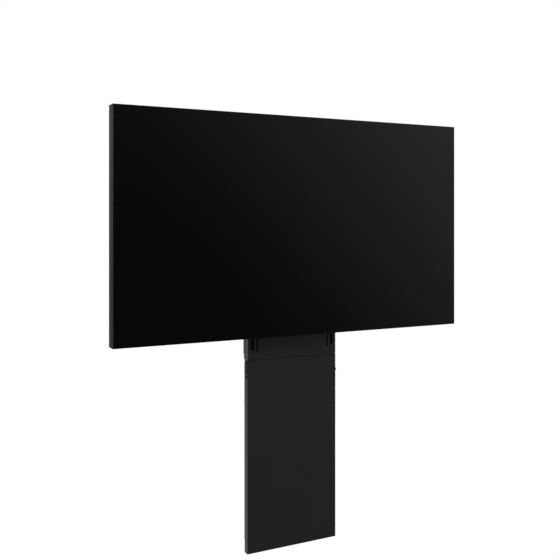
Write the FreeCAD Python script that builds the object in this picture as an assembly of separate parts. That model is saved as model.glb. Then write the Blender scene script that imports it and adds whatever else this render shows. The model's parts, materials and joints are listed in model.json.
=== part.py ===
"""Motorized wall lift for a large flat display: wall column, lift mechanism and display.

Millimetres. +Z is up, the wall is the plane Y = 0 and the display faces -Y. The origin is the
centre of the four main wall slots. "Left" is -X, as seen from the front. The lift stands at the
top of its stroke. Heights below are counted from the lower edge of the column's cover, which is
called the foot, and level() turns them into Z.
"""
import math
import os

import FreeCAD
import Part

Vector = FreeCAD.Vector

# Least cosine between two lines that count as parallel, and a length that counts as none
PARALLEL = math.cos(math.radians(1))
NEAR = 0.1

# Clearances
SEAT_GAP = 0.3
RUNNING_GAP = 0.3
SLIDE_GAP = 0.5
SCREW_GAP = 0.3

# Lift
LIFT_STROKE = 650.0
STOP_MARGIN = 10.0

# Column, upper section
COLUMN_WIDTH = 508.0
BRACKET_DEPTH = 7.0
BRACKET_SHEET = 3.0
BRACKET_RISE = 27.0
HOUSING_DEPTH = 50.0
HOUSING_SHEET = 1.5
BACK_SHEET = 2.0
CHEEK_REAR_FLANGE = 20.0
CHEEK_FRONT_FLANGE = 15.0
BEND_RATIO = 0.9
CAP_SKIRT = 12.0
CAP_CORNER = 2.0

# Slots of the front sheet
ARM_SLOT_INSET = 25.0
ARM_SLOT_WIDTH = 15.0
ARM_SLOT_RISE = 50.0
GUIDE_SLOT_INSET = 50.0
GUIDE_SLOT_WIDTH = 6.5
GUIDE_SLOT_RISE = 38.0
SLOT_TOP_MARGIN = 25.0

# Wall fixing
WALL_SLOT_SPAN = 400.0
WALL_SLOT_RADIUS = 5.0
WALL_SLOT_LENGTH = 30.0
WALL_ROW_MARGIN = 108.0
WALL_ROW_SPAN = 550.0
WALL_TOP_MARGIN = 15.0
ACCESS_HEIGHT = 26.0
ACCESS_WIDTH = 46.0
PAD_HEIGHT = 36.0
PAD_WIDTH = 300.0
PAD_BOLT_X = 100.0
PAD_MARGIN = 45.0
PAD_BOLT_RADIUS = 4.0
BOLT_FLATS_RATIO = 3.25
BOLT_HEAD = 3.0

# Column, lower section
COVER_PROUD = 2.0
COVER_JOINT = 1.5
COVER_SHEET = 1.5
COVER_STEP = 3.0
COVER_FLANGE = 35.0
COVER_RETURN = 13.5
RETURN_CLEARANCE = 2.0
NOTCH_HEIGHT = 84.0
NOTCH_DEPTH = 21.5
PLATE_SHEET = 3.0
PLATE_FOOT = 66.0
TONGUE_INSET = 3.0
TONGUE_LAP = 70.0
JOINING_BAR_WIDTH = 400.0
JOINING_BAR_HEIGHT = 50.0
PIN_RADIUS = 3.0
PIN_PROUD = 2.0
PIN_INSET = 12.0
COVER_BRACKET_HEIGHT = 36.0
COVER_BRACKET_SHEET = 2.0
COVER_BRACKET_FOOT_WIDTH = 24.0
HOOK_HEIGHT = 30.0
HOOK_X = 136.0
HOOK_WIDTH = 30.0

# Lower wall bracket
LOWER_BRACKET_WIDTH = 420.0
LOWER_BRACKET_HEIGHT = 45.0
LOWER_BRACKET_FOOT = 100.0
LOWER_HOLE_SPAN = 360.0
LOWER_HOLE_RADIUS = 5.0

# Guide rails and their blocks
RAIL_X = 150.0
RAIL_WIDTH = 15.0
RAIL_HEIGHT = 14.0
RAIL_WAIST = 2.0
RAIL_SHOULDER = 0.35
RAIL_OVERRUN = 20.0
RAIL_FOOT_GAP = 5.0
RAIL_TOP_GAP = 20.0
BLOCK_WIDTH = 47.0
BLOCK_LENGTH = 60.0
BLOCK_STANDOFF = 4.0
BLOCK_ROOF = 9.5
BLOCK_PITCH = 160.0
STOP_WIDTH = 20.0
STOP_HEIGHT = 15.0
STOP_THICK = 8.0

# Carriage
CARRIAGE_SHEET = 3.0
CARRIAGE_MARGIN = 10.0
WINDOW_WIDTH = 130.0
WINDOW_HEIGHT = 110.0
WINDOW_CORNER = 12.0
ARM_WEB = 8.0
ARM_GUIDE = 3.0
ARM_OVERHANG = 20.0
ARM_CORNER = 10.0

# Carrier in front of the column
UPRIGHT_GAP = 5.0
UPRIGHT_THICK = 5.0
UPRIGHT_WIDTH = 30.0
UPRIGHT_DROP = 25.0
UPRIGHT_CORNER = 6.0
CROSSBAR_DEPTH = 15.0
CROSSBAR_HEIGHT = 40.0
CROSSBAR_WALL = 2.0
CROSSBAR_MARGIN = 75.0
CAP_THICK = 3.0
CAP_TONGUE = 12.0

# Spindle drives
DRIVE_X = 80.0
DRIVE_TUBE_RADIUS = 14.0
DRIVE_TUBE_WALL = 2.0
DRIVE_TUBE_RISE = 50.0
DRIVE_TUBE_SPARE = 85.0
GLAND_HEIGHT = 12.0
GLAND_FLATS = 29.0
PUSH_TUBE_RADIUS = 10.0
PUSH_TUBE_WALL = 2.0
PUSH_TUBE_OVERLAP = 45.0
SPINDLE_RADIUS = 6.0
SPINDLE_JOURNAL = 4.0
SPINDLE_JOURNAL_LENGTH = 14.0
NUT_LENGTH = 24.0
BEARING_HEIGHT = 10.0
MOTOR_RADIUS = 14.5
MOTOR_HEIGHT = 92.0
GEARBOX_HEIGHT = 34.0
GEARBOX_WIDTH = 36.0
GEARBOX_DEPTH = 30.0
MOTOR_NECK_HEIGHT = 14.0
MOTOR_NECK_RADIUS = 11.6
SHELF_SHEET = 3.0
SHELF_RISE = 34.0
SHELF_DROP = 32.0
SHELF_WIDTH = 60.0
ROD_BLOCK_WIDTH = 36.0
ROD_BLOCK_DEPTH = 25.0
ROD_BLOCK_HEIGHT = 15.0
ROD_TAB_HEIGHT = 30.0
ROD_TAB_THICK = 5.0
ROD_SPIGOT_LENGTH = 12.0
SADDLE_HEIGHT = 24.0
SADDLE_WIDTH = 52.0

# Electrics in the lower section
BOX_DEPTH = 27.0
BOX_WIDTH = 96.0
CONTROL_HEIGHT = 210.0
SUPPLY_HEIGHT = 170.0
BOX_X = 178.0
BOX_FOOT = 300.0
BOX_CORNER = 3.0
LID_THICK = 3.0
LID_LIP = 2.0
COOLER_BASE = 1.5
FIN_COUNT = 7
FIN_HEIGHT = 3.0
FIN_WIDTH = 4.0
INLET_WIDTH = 32.0
INLET_HEIGHT = 34.0
INLET_DEPTH = 27.0
INLET_X = 178.0
SOCKET_WIDTH = 24.0
SOCKET_DEPTH = 16.0
SOCKET_RECESS = 18.0
INLET_BLADE = 2.0
INLET_BLADE_INSET = 6.0
INLET_BLADE_PITCH = 7.0

# Display
DISPLAY_WIDTH = 1930.0
DISPLAY_HEIGHT = 1100.0
DISPLAY_DEPTH = 71.5
DISPLAY_DROP = 610.0
GLASS_THICK = 3.5
GLASS_EDGE = 1.0
GLASS_CORNER = 3.5
EDGE_WALL = 2.5
EDGE_LEDGE = 14.0
EDGE_ROUND = 1.2
PANEL_THICK = 8.0
PANEL_MARGIN = 4.0
TRAY_THICK = 1.5
TRAY_MARGIN = 8.0
TRAY_RIB_COUNT = 5
TRAY_RIB_WIDTH = 40.0
TRAY_RIB_HEIGHT = 8.0
COVER_PLATE = 2.5
VENT_COUNT = 16
VENT_LENGTH = 150.0
VENT_WIDTH = 7.0
VENT_PITCH = 18.0
VENT_X = 640.0
VENT_TOP_MARGIN = 90.0
BOARD_WIDTH = 300.0
BOARD_HEIGHT = 220.0
BOARD_THICK = 12.0
BOARD_STANDOFF = 6.0
BOARD_POST = 8.0
BOARD_POST_INSET = 15.0
CAN_WIDTH = 180.0
CAN_MARGIN = 45.0
BOARD_X = 240.0
SPEAKER_WIDTH = 160.0
SPEAKER_HEIGHT = 60.0
SPEAKER_DEPTH = 36.0
SPEAKER_X = 640.0
GRILLE_COUNT = 12
GRILLE_PITCH = 12.0
GRILLE_WIDTH = 4.0
GRILLE_HEIGHT = 40.0
PORT_PANEL_X = 520.0
PORT_PANEL_WIDTH = 240.0
PORT_PANEL_HEIGHT = 70.0
PORT_PANEL_FOOT = 110.0
PORT_PANEL_RECESS = 22.0
PORT_PANEL_WALL = 2.0
PORT_COUNT = 5
PORT_PITCH = 32.0
PORT_WIDTH = 18.0
PORT_HEIGHT = 9.0
PORT_DEPTH = 6.0
DISPLAY_INLET_X = -520.0
DISPLAY_INLET_FOOT = 110.0
DISPLAY_INLET_WIDTH = 48.0
DISPLAY_INLET_HEIGHT = 34.0
DISPLAY_INLET_DEPTH = 24.0
ROCKER_X = -470.0
ROCKER_WIDTH = 18.0
ROCKER_HEIGHT = 13.0
ROCKER_TILT_DEPTH = 4.0
SWITCH_FRAME = 3.0
SWITCH_DEPTH = 18.0
HANDLE_X = 800.0
HANDLE_LENGTH = 150.0
HANDLE_WIDTH = 16.0
HANDLE_THICK = 9.0
HANDLE_REACH = 27.0
HANDLE_CORNER = 8.0

# Hook strips between the display and the crossbars
SCREEN_HOLE_SPAN = 600.0
SCREEN_HOLE_RISE = 400.0
SCREEN_BOLT_RADIUS = 4.0
SCREEN_BOLT_HEAD = 4.0
STANDOFF_FLATS = 17.0
SCREEN_BOLT_REACH = 30.0
STRIP_BASE = 2.5
STRIP_FLANGE = 2.0
STRIP_WIDTH = 30.0
STRIP_DEPTH = 5.5
STRIP_TOP_MARGIN = 60.0
STRIP_FOOT_MARGIN = 75.0
HOOK_GAP = 0.5
HOOK_TOP = 16.0
HOOK_NOSE = 4.5
HOOK_NOSE_DROP = 20.0
SIDE_SHIFT = 35.0

# Safety latches under the lower crossbar
LATCH_THICK = 8.0
LATCH_PIN_RADIUS = 2.0
LATCH_PIN_PROUD = 1.5
LATCH_PIVOT_DROP = 28.0
LATCH_PIVOT_OFFSET = 3.5
LATCH_EYE = 10.0
LATCH_ARM_DROP = 7.0
LATCH_ARM_HEIGHT = 10.0
LATCH_NOSE = 4.5
LATCH_NOSE_RISE = 18.0
LATCH_TAIL = 8.0
LATCH_TAIL_CORNER = 2.0
EAR_DEPTH = 11.0
EAR_DROP = 4.0

# Heights that follow from the sizes above: the drives stand on their shelves, and their stroke
# gives the height of the lower section, then of the rails and of the upper section
SHELF_TOP = PLATE_FOOT + SHELF_RISE
DRIVE_TUBE_FOOT = SHELF_TOP + MOTOR_HEIGHT + MOTOR_NECK_HEIGHT + GEARBOX_HEIGHT
PUSH_TUBE_FOOT = DRIVE_TUBE_FOOT + DRIVE_TUBE_SPARE + LIFT_STROKE
DRIVE_TUBE_TOP = PUSH_TUBE_FOOT + PUSH_TUBE_OVERLAP
HOUSING_FOOT = DRIVE_TUBE_TOP - DRIVE_TUBE_RISE
COVER_TOP = HOUSING_FOOT - COVER_JOINT
BRACKET_FOOT = HOUSING_FOOT + BRACKET_RISE
ARM_SLOT_FOOT = HOUSING_FOOT + ARM_SLOT_RISE
GUIDE_SLOT_FOOT = HOUSING_FOOT + GUIDE_SLOT_RISE
RAIL_FOOT = HOUSING_FOOT + TONGUE_LAP + RAIL_FOOT_GAP
BLOCK_LOW = RAIL_FOOT + RAIL_OVERRUN + LIFT_STROKE
BLOCK_HIGH = BLOCK_LOW + BLOCK_PITCH
RAIL_TOP = BLOCK_HIGH + BLOCK_LENGTH + RAIL_OVERRUN
HOUSING_TOP = RAIL_TOP + RAIL_TOP_GAP
SLOT_TOP = HOUSING_TOP - SLOT_TOP_MARGIN
WALL_ROW_LOW = BRACKET_FOOT + WALL_ROW_MARGIN
WALL_ROW_HIGH = WALL_ROW_LOW + WALL_ROW_SPAN
WALL_ROW_TOP = HOUSING_TOP - WALL_TOP_MARGIN
ORIGIN_HEIGHT = (WALL_ROW_LOW + WALL_ROW_HIGH) / 2
CARRIAGE_FOOT = BLOCK_LOW - CARRIAGE_MARGIN
CARRIAGE_TOP = BLOCK_HIGH + BLOCK_LENGTH + CARRIAGE_MARGIN
ROD_BLOCK_FOOT = CARRIAGE_FOOT - ROD_BLOCK_HEIGHT
ARM_FOOT = ARM_SLOT_FOOT + STOP_MARGIN + LIFT_STROKE
ARM_TOP = CARRIAGE_TOP - ARM_OVERHANG
DISPLAY_FOOT = CARRIAGE_FOOT - DISPLAY_DROP
DISPLAY_MIDDLE = DISPLAY_FOOT + DISPLAY_HEIGHT / 2
CROSSBAR_LOW = DISPLAY_MIDDLE - SCREEN_HOLE_RISE / 2 - CROSSBAR_HEIGHT / 2
CROSSBAR_HIGH = DISPLAY_MIDDLE + SCREEN_HOLE_RISE / 2 - CROSSBAR_HEIGHT / 2
UPRIGHT_FOOT = CROSSBAR_LOW - UPRIGHT_DROP
LATCH_PIVOT = CROSSBAR_LOW - LATCH_PIVOT_DROP

# Widths and depths that follow
COVER_WIDTH = COLUMN_WIDTH + 2 * COVER_PROUD
TONGUE_WIDTH = COLUMN_WIDTH - 2 * TONGUE_INSET
ARM_SLOT_X = COLUMN_WIDTH / 2 - ARM_SLOT_INSET
GUIDE_SLOT_X = COLUMN_WIDTH / 2 - GUIDE_SLOT_INSET
HOUSING_BACK_Y = -BRACKET_DEPTH
RAIL_SEAT_Y = HOUSING_BACK_Y - BACK_SHEET
HOUSING_FRONT_Y = HOUSING_BACK_Y - HOUSING_DEPTH
HOUSING_INNER_Y = HOUSING_FRONT_Y + HOUSING_SHEET
CHEEK_INNER_X = COLUMN_WIDTH / 2 - HOUSING_SHEET
COVER_FRONT_Y = HOUSING_FRONT_Y + COVER_STEP
PLATE_FRONT_Y = COVER_FRONT_Y + COVER_FLANGE
PLATE_BACK_Y = PLATE_FRONT_Y + PLATE_SHEET
RAIL_FRONT_Y = RAIL_SEAT_Y - RAIL_HEIGHT
CARRIAGE_BACK_Y = RAIL_FRONT_Y - SLIDE_GAP - BLOCK_ROOF
CARRIAGE_FRONT_Y = CARRIAGE_BACK_Y - CARRIAGE_SHEET
UPRIGHT_BACK_Y = HOUSING_FRONT_Y - UPRIGHT_GAP
CROSSBAR_BACK_Y = UPRIGHT_BACK_Y - UPRIGHT_THICK
CROSSBAR_FRONT_Y = CROSSBAR_BACK_Y - CROSSBAR_DEPTH
CROSSBAR_HALF = SCREEN_HOLE_SPAN / 2 + SIDE_SHIFT + CROSSBAR_MARGIN - CAP_THICK
STRIP_BACK_Y = CROSSBAR_FRONT_Y - HOOK_GAP
STRIP_FRONT_Y = STRIP_BACK_Y - STRIP_DEPTH
DISPLAY_BACK_Y = STRIP_FRONT_Y - STRIP_BASE
DISPLAY_FRONT_Y = DISPLAY_BACK_Y - DISPLAY_DEPTH
GLASS_BACK_Y = DISPLAY_FRONT_Y + GLASS_THICK
LEDGE_BACK_Y = GLASS_BACK_Y + EDGE_WALL
PANEL_BACK_Y = LEDGE_BACK_Y + PANEL_THICK
TRAY_BACK_Y = PANEL_BACK_Y + TRAY_THICK
COVER_PLATE_Y = DISPLAY_BACK_Y - COVER_PLATE
ARM_UPRIGHT_X = (ARM_SLOT_X + ARM_WEB / 2 + GUIDE_SLOT_X - ARM_GUIDE / 2) / 2
DRIVE_Y = (PLATE_FRONT_Y + COVER_FRONT_Y + COVER_SHEET) / 2
LATCH_PIVOT_Y = STRIP_BACK_Y + LATCH_PIVOT_OFFSET


def level(height):
    """Z of a height over the foot of the column."""
    return height - ORIGIN_HEIGHT


def block(x0, x1, y0, y1, low, high):
    """Box between two X, two Y and two heights over the foot."""
    return Part.makeBox(x1 - x0, y1 - y0, high - low, Vector(x0, y0, level(low)))


def bar_z(radius, x, y, low, high):
    """Upright round bar between two heights."""
    return Part.makeCylinder(radius, high - low, Vector(x, y, level(low)), Vector(0, 0, 1))


def bar_y(radius, x, height, front, back):
    """Round bar through the column from its front end to its back end."""
    return Part.makeCylinder(radius, back - front, Vector(x, front, level(height)), Vector(0, 1, 0))


def bar_x(radius, y, height, left, right):
    """Round bar across the column."""
    return Part.makeCylinder(radius, right - left, Vector(left, y, level(height)), Vector(1, 0, 0))


def slot_y(x, height, length, radius, front, back):
    """Round-ended slot cutter, long in X, through a plate between front and back."""
    reach = length / 2 - radius
    cutter = block(x - reach, x + reach, front, back, height - radius, height + radius)
    for end in (-reach, reach):
        cutter = cutter.fuse(bar_y(radius, x + end, height, front, back))
    return cutter.removeSplitter()


def slot_y_upright(x, low, high, width, front, back):
    """Round-ended slot cutter, long in Z, through a plate between front and back."""
    radius = width / 2
    cutter = block(x - radius, x + radius, front, back, low + radius, high - radius)
    for height in (low + radius, high - radius):
        cutter = cutter.fuse(bar_y(radius, x, height, front, back))
    return cutter.removeSplitter()


def mirrored(shape):
    """The same piece on the other side of the centre plane."""
    return shape.mirror(Vector(0, 0, 0), Vector(1, 0, 0))


def both_sides(shape):
    """A piece and its mirror image as two separate solids."""
    return [shape, mirrored(shape)]


def edges_along(shape, direction, keep=None):
    """Straight edges that run along a direction and pass the keep test."""
    edges = []
    for edge in shape.Edges:
        if edge.Curve.TypeId != "Part::GeomLine":
            continue
        along = abs((edge.Vertexes[1].Point - edge.Vertexes[0].Point).normalize().dot(direction))
        if along > PARALLEL and (keep is None or keep(edge.CenterOfMass)):
            edges.append(edge)
    return edges


def rounded(shape, radius, direction, keep=None):
    """Rounds the edges along a direction."""
    return shape.makeFillet(radius, edges_along(shape, direction, keep))


def bevelled(shape, size, direction):
    """Bevels the edges along a direction."""
    return shape.makeChamfer(size, edges_along(shape, direction))


def group_of(*shapes):
    """One node of separate solids: each right-hand piece and its mirror image."""
    solids = []
    for shape in shapes:
        solids += both_sides(shape)
    return Part.makeCompound(solids)


def extruded_x(points, left, right):
    """Solid of a Y and height outline, drawn between two X."""
    corners = [Vector(left, y, level(height)) for y, height in points]
    face = Part.Face(Part.makePolygon(corners + corners[:1]))
    return face.extrude(Vector(right - left, 0, 0))


def hexagon(flats, centre, direction, length):
    """Hexagonal bar of a width across flats, drawn from its centre point along a direction."""
    side = Vector(1, 0, 0)
    normal = direction.cross(side)
    corners = []
    for index in range(6):
        angle = math.radians(60 * index)
        corners.append(centre + (side * math.cos(angle) + normal * math.sin(angle)) * (flats / math.sqrt(3)))
    face = Part.Face(Part.makePolygon(corners + corners[:1]))
    return face.extrude(direction * length)


def extruded_z(points, low, high):
    """Solid of an X and Y outline, drawn between two heights."""
    corners = [Vector(x, y, level(low)) for x, y in points]
    face = Part.Face(Part.makePolygon(corners + corners[:1]))
    return face.extrude(Vector(0, 0, high - low))


def hex_bolt(radius, head, x, height, seat, tip):
    """Bolt with a hexagonal head on one side of its seat and a shank that runs to its tip."""
    outward = 1 if seat > tip else -1
    shank = bar_y(radius, x, height, min(seat, tip), max(seat, tip))
    flats = radius * BOLT_FLATS_RATIO
    cap = hexagon(flats, Vector(x, seat, level(height)), Vector(0, outward, 0), head)
    return shank.fuse(cap).removeSplitter()


def wall_slots():
    """Places of the six slots in the wall bracket."""
    rows = (WALL_ROW_LOW, WALL_ROW_HIGH, WALL_ROW_TOP)
    return [(side * WALL_SLOT_SPAN / 2, row) for row in rows for side in (-1, 1)]


def pad_rows():
    """Heights of the two raised pads of the wall bracket."""
    return BRACKET_FOOT + PAD_MARGIN, HOUSING_TOP - PAD_MARGIN


def pad_bolts():
    """Places of the four bolts that join the wall bracket and the housing."""
    return [(side * PAD_BOLT_X, row) for row in pad_rows() for side in (-1, 1)]


def make_wall_bracket():
    """Pressed tray that is screwed to the wall, with slots and two raised pads."""
    half = COLUMN_WIDTH / 2
    tray = block(-half, half, -BRACKET_DEPTH, 0, BRACKET_FOOT, HOUSING_TOP)
    inner = half - BRACKET_SHEET
    tray = tray.cut(block(-inner, inner, -BRACKET_DEPTH, -BRACKET_SHEET,
                          BRACKET_FOOT + BRACKET_SHEET, HOUSING_TOP - BRACKET_SHEET))
    reach = PAD_WIDTH / 2
    for row in pad_rows():
        tray = tray.fuse(block(-reach, reach, -BRACKET_DEPTH, -BRACKET_SHEET,
                               row - PAD_HEIGHT / 2, row + PAD_HEIGHT / 2))
    for x, height in pad_bolts():
        tray = tray.cut(bar_y(PAD_BOLT_RADIUS + SCREW_GAP, x, height, -BRACKET_DEPTH, 0))
    for x, height in wall_slots():
        tray = tray.cut(slot_y(x, height, WALL_SLOT_LENGTH, WALL_SLOT_RADIUS, -BRACKET_DEPTH, 0))
    return tray.removeSplitter()


def make_upper_back_plate():
    """Back of the upper housing, with driver access to the wall slots behind it."""
    half = COLUMN_WIDTH / 2
    plate = block(-half, half, RAIL_SEAT_Y, HOUSING_BACK_Y, HOUSING_FOOT, HOUSING_TOP)
    for x, height in wall_slots():
        plate = plate.cut(block(x - ACCESS_WIDTH / 2, x + ACCESS_WIDTH / 2, RAIL_SEAT_Y, HOUSING_BACK_Y,
                                height - ACCESS_HEIGHT / 2, height + ACCESS_HEIGHT / 2))
    for x, height in pad_bolts():
        plate = plate.cut(bar_y(PAD_BOLT_RADIUS + SCREW_GAP, x, height, RAIL_SEAT_Y, HOUSING_BACK_Y))
    return plate.removeSplitter()


def make_bracket_bolts():
    """Bolts that draw the housing on to the wall bracket."""
    bolts = [hex_bolt(PAD_BOLT_RADIUS, BOLT_HEAD, x, height, RAIL_SEAT_Y, -SEAT_GAP)
             for x, height in pad_bolts()]
    return Part.makeCompound(bolts)


def make_right_cheek():
    """Side of the upper housing: a folded channel with a rear and a front flange."""
    outer = COLUMN_WIDTH / 2
    sheet = HOUSING_SHEET
    outline = [
        (outer, RAIL_SEAT_Y),
        (outer - CHEEK_REAR_FLANGE, RAIL_SEAT_Y),
        (outer - CHEEK_REAR_FLANGE, RAIL_SEAT_Y - sheet),
        (outer - sheet, RAIL_SEAT_Y - sheet),
        (outer - sheet, HOUSING_INNER_Y + sheet),
        (outer - CHEEK_FRONT_FLANGE, HOUSING_INNER_Y + sheet),
        (outer - CHEEK_FRONT_FLANGE, HOUSING_INNER_Y),
        (outer, HOUSING_INNER_Y),
    ]
    return extruded_z(outline, HOUSING_FOOT, HOUSING_TOP)


def make_slotted_front():
    """Front sheet of the upper housing with the four long slots of the carriage arms."""
    half = COLUMN_WIDTH / 2
    sheet = block(-half, half, HOUSING_FRONT_Y, HOUSING_INNER_Y, HOUSING_FOOT, HOUSING_TOP)
    sheet = rounded(sheet, HOUSING_SHEET * BEND_RATIO, Vector(0, 0, 1),
                    lambda at: at.y < HOUSING_FRONT_Y + NEAR)
    for side in (-1, 1):
        sheet = sheet.cut(slot_y_upright(side * ARM_SLOT_X, ARM_SLOT_FOOT, SLOT_TOP, ARM_SLOT_WIDTH,
                                         HOUSING_FRONT_Y, HOUSING_INNER_Y))
        sheet = sheet.cut(slot_y_upright(side * GUIDE_SLOT_X, GUIDE_SLOT_FOOT, SLOT_TOP, GUIDE_SLOT_WIDTH,
                                         HOUSING_FRONT_Y, HOUSING_INNER_Y))
    return sheet.removeSplitter()


def make_top_cap():
    """Lid of the upper housing, with a skirt that drops inside it."""
    half = COLUMN_WIDTH / 2
    lid = block(-half, half, HOUSING_FRONT_Y, HOUSING_BACK_Y, HOUSING_TOP, HOUSING_TOP + HOUSING_SHEET)
    lid = rounded(lid, CAP_CORNER, Vector(0, 0, 1), lambda at: at.y < HOUSING_FRONT_Y + NEAR)
    reach = CHEEK_INNER_X - CHEEK_REAR_FLANGE
    skirt = block(-reach, reach, HOUSING_INNER_Y + SEAT_GAP, HOUSING_INNER_Y + SEAT_GAP + HOUSING_SHEET,
                  HOUSING_TOP - CAP_SKIRT, HOUSING_TOP)
    return lid.fuse(skirt).removeSplitter()


def make_lower_back_plate():
    """Long back plate of the lower section, whose tongue reaches up into the housing."""
    half = COVER_WIDTH / 2
    plate = block(-half, half, PLATE_FRONT_Y, PLATE_BACK_Y, PLATE_FOOT, HOUSING_FOOT - STOP_MARGIN)
    tongue = TONGUE_WIDTH / 2
    plate = plate.fuse(block(-tongue, tongue, PLATE_FRONT_Y, PLATE_BACK_Y,
                             HOUSING_FOOT - STOP_MARGIN, HOUSING_FOOT + TONGUE_LAP))
    for side in (-1, 1):
        plate = plate.cut(bar_y(2 * LOWER_HOLE_RADIUS, side * LOWER_HOLE_SPAN / 2, lower_hole_height(),
                                PLATE_FRONT_Y, PLATE_BACK_Y))
    return plate.removeSplitter()


def make_joining_bar():
    """Flat bar that fills the step between the lower plate's tongue and the upper back plate."""
    half = JOINING_BAR_WIDTH / 2
    top = HOUSING_FOOT + TONGUE_LAP - (TONGUE_LAP - JOINING_BAR_HEIGHT) / 2
    return block(-half, half, PLATE_BACK_Y, RAIL_SEAT_Y, top - JOINING_BAR_HEIGHT, top)


def lower_hole_height():
    """Height of the two holes in the lower wall bracket."""
    return LOWER_BRACKET_FOOT + LOWER_BRACKET_HEIGHT * 1.5


def make_lower_wall_bracket():
    """Folded Z-section that stands the lower section off the wall."""
    sheet = BRACKET_SHEET
    step = LOWER_BRACKET_FOOT + LOWER_BRACKET_HEIGHT
    outline = [
        (PLATE_BACK_Y, LOWER_BRACKET_FOOT),
        (PLATE_BACK_Y + sheet, LOWER_BRACKET_FOOT),
        (PLATE_BACK_Y + sheet, step - sheet),
        (0, step - sheet),
        (0, step + LOWER_BRACKET_HEIGHT),
        (-sheet, step + LOWER_BRACKET_HEIGHT),
        (-sheet, step),
        (PLATE_BACK_Y, step),
    ]
    half = LOWER_BRACKET_WIDTH / 2
    bracket = extruded_x(outline, -half, half)
    for side in (-1, 1):
        bracket = bracket.cut(bar_y(LOWER_HOLE_RADIUS, side * LOWER_HOLE_SPAN / 2, lower_hole_height(),
                                    -sheet, 0))
    return bracket.removeSplitter()


def pin_height():
    """Height of the pins that the cover hangs on."""
    return COVER_TOP - NOTCH_HEIGHT


def pin_y():
    """Depth at which the cover's pins stand."""
    return COVER_FRONT_Y + PIN_INSET


def make_lower_cover():
    """Folded front cover of the lower section: a return at its top and a notch in each flange."""
    half = COVER_WIDTH / 2
    inner = half - COVER_SHEET
    outline = [
        (-half, PLATE_FRONT_Y), (-half, COVER_FRONT_Y), (half, COVER_FRONT_Y), (half, PLATE_FRONT_Y),
        (inner, PLATE_FRONT_Y), (inner, COVER_FRONT_Y + COVER_SHEET),
        (-inner, COVER_FRONT_Y + COVER_SHEET), (-inner, PLATE_FRONT_Y),
    ]
    fold = COVER_FRONT_Y + COVER_SHEET
    strip = block(-inner, inner, fold, fold + COVER_RETURN, COVER_TOP - COVER_SHEET, COVER_TOP)
    for side in (-1, 1):
        strip = strip.cut(bar_z(DRIVE_TUBE_RADIUS + RETURN_CLEARANCE, side * DRIVE_X, DRIVE_Y,
                                COVER_TOP - COVER_SHEET, COVER_TOP))
    cover = extruded_z(outline, 0, COVER_TOP).fuse(strip).removeSplitter()
    bend = COVER_SHEET * BEND_RATIO
    cover = rounded(cover, bend, Vector(1, 0, 0),
                    lambda at: at.y < COVER_FRONT_Y + NEAR and at.z > level(COVER_TOP) - NEAR)
    cover = rounded(cover, bend, Vector(0, 0, 1), lambda at: at.y < COVER_FRONT_Y + NEAR)
    for side in (-1, 1):
        inside = side * (inner - COVER_SHEET)
        outside = side * (half + COVER_SHEET)
        left, right = sorted((inside, outside))
        cover = cover.cut(block(left, right, fold, fold + NOTCH_DEPTH,
                                COVER_TOP - NOTCH_HEIGHT, COVER_TOP + COVER_SHEET))
        cover = cover.cut(bar_x(PIN_RADIUS + SEAT_GAP, pin_y(), pin_height(), left, right))
    return cover.removeSplitter()


def make_cover_bracket():
    """Angle inside the right flange of the cover that carries its pin."""
    outer = COVER_WIDTH / 2 - COVER_SHEET - SEAT_GAP
    sheet = COVER_BRACKET_SHEET
    front = COVER_FRONT_Y + COVER_SHEET + SEAT_GAP
    outline = [
        (outer, PLATE_FRONT_Y), (outer - COVER_BRACKET_FOOT_WIDTH, PLATE_FRONT_Y),
        (outer - COVER_BRACKET_FOOT_WIDTH, PLATE_FRONT_Y - sheet), (outer - sheet, PLATE_FRONT_Y - sheet),
        (outer - sheet, front), (outer, front),
    ]
    middle = pin_height()
    angle = extruded_z(outline, middle - COVER_BRACKET_HEIGHT / 2, middle + COVER_BRACKET_HEIGHT / 2)
    return angle.cut(bar_x(PIN_RADIUS + SEAT_GAP, pin_y(), middle, outer - 2 * sheet, outer + sheet))


def make_cover_pin():
    """Right pin of the cover, through its angle and standing proud of the flange."""
    outer = COVER_WIDTH / 2
    root = outer - COVER_SHEET - SEAT_GAP - 2 * COVER_BRACKET_SHEET
    return bar_x(PIN_RADIUS, pin_y(), pin_height(), root, outer + PIN_PROUD)


def make_cover_hook():
    """Right hook near the foot that holds the cover's front sheet down."""
    front = COVER_FRONT_Y + COVER_SHEET + SEAT_GAP
    sheet = COVER_BRACKET_SHEET
    top = PLATE_FOOT + HOOK_HEIGHT
    outline = [
        (PLATE_FRONT_Y, PLATE_FOOT), (PLATE_FRONT_Y, top), (PLATE_FRONT_Y - sheet, top),
        (PLATE_FRONT_Y - sheet, PLATE_FOOT + sheet), (front + sheet, PLATE_FOOT + sheet),
        (front + sheet, top), (front, top), (front, PLATE_FOOT),
    ]
    return extruded_x(outline, HOOK_X - HOOK_WIDTH / 2, HOOK_X + HOOK_WIDTH / 2)


def make_rail():
    """Right guide rail with its waisted flanks."""
    half = RAIL_WIDTH / 2
    shoulder = RAIL_SEAT_Y - RAIL_HEIGHT * RAIL_SHOULDER
    waist = RAIL_FRONT_Y + RAIL_HEIGHT * RAIL_SHOULDER
    outline = [
        (RAIL_X - half, RAIL_SEAT_Y), (RAIL_X - half, shoulder), (RAIL_X - half + RAIL_WAIST, waist),
        (RAIL_X - half, RAIL_FRONT_Y), (RAIL_X + half, RAIL_FRONT_Y), (RAIL_X + half - RAIL_WAIST, waist),
        (RAIL_X + half, shoulder), (RAIL_X + half, RAIL_SEAT_Y),
    ]
    return extruded_z(outline, RAIL_FOOT, RAIL_TOP)


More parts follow.
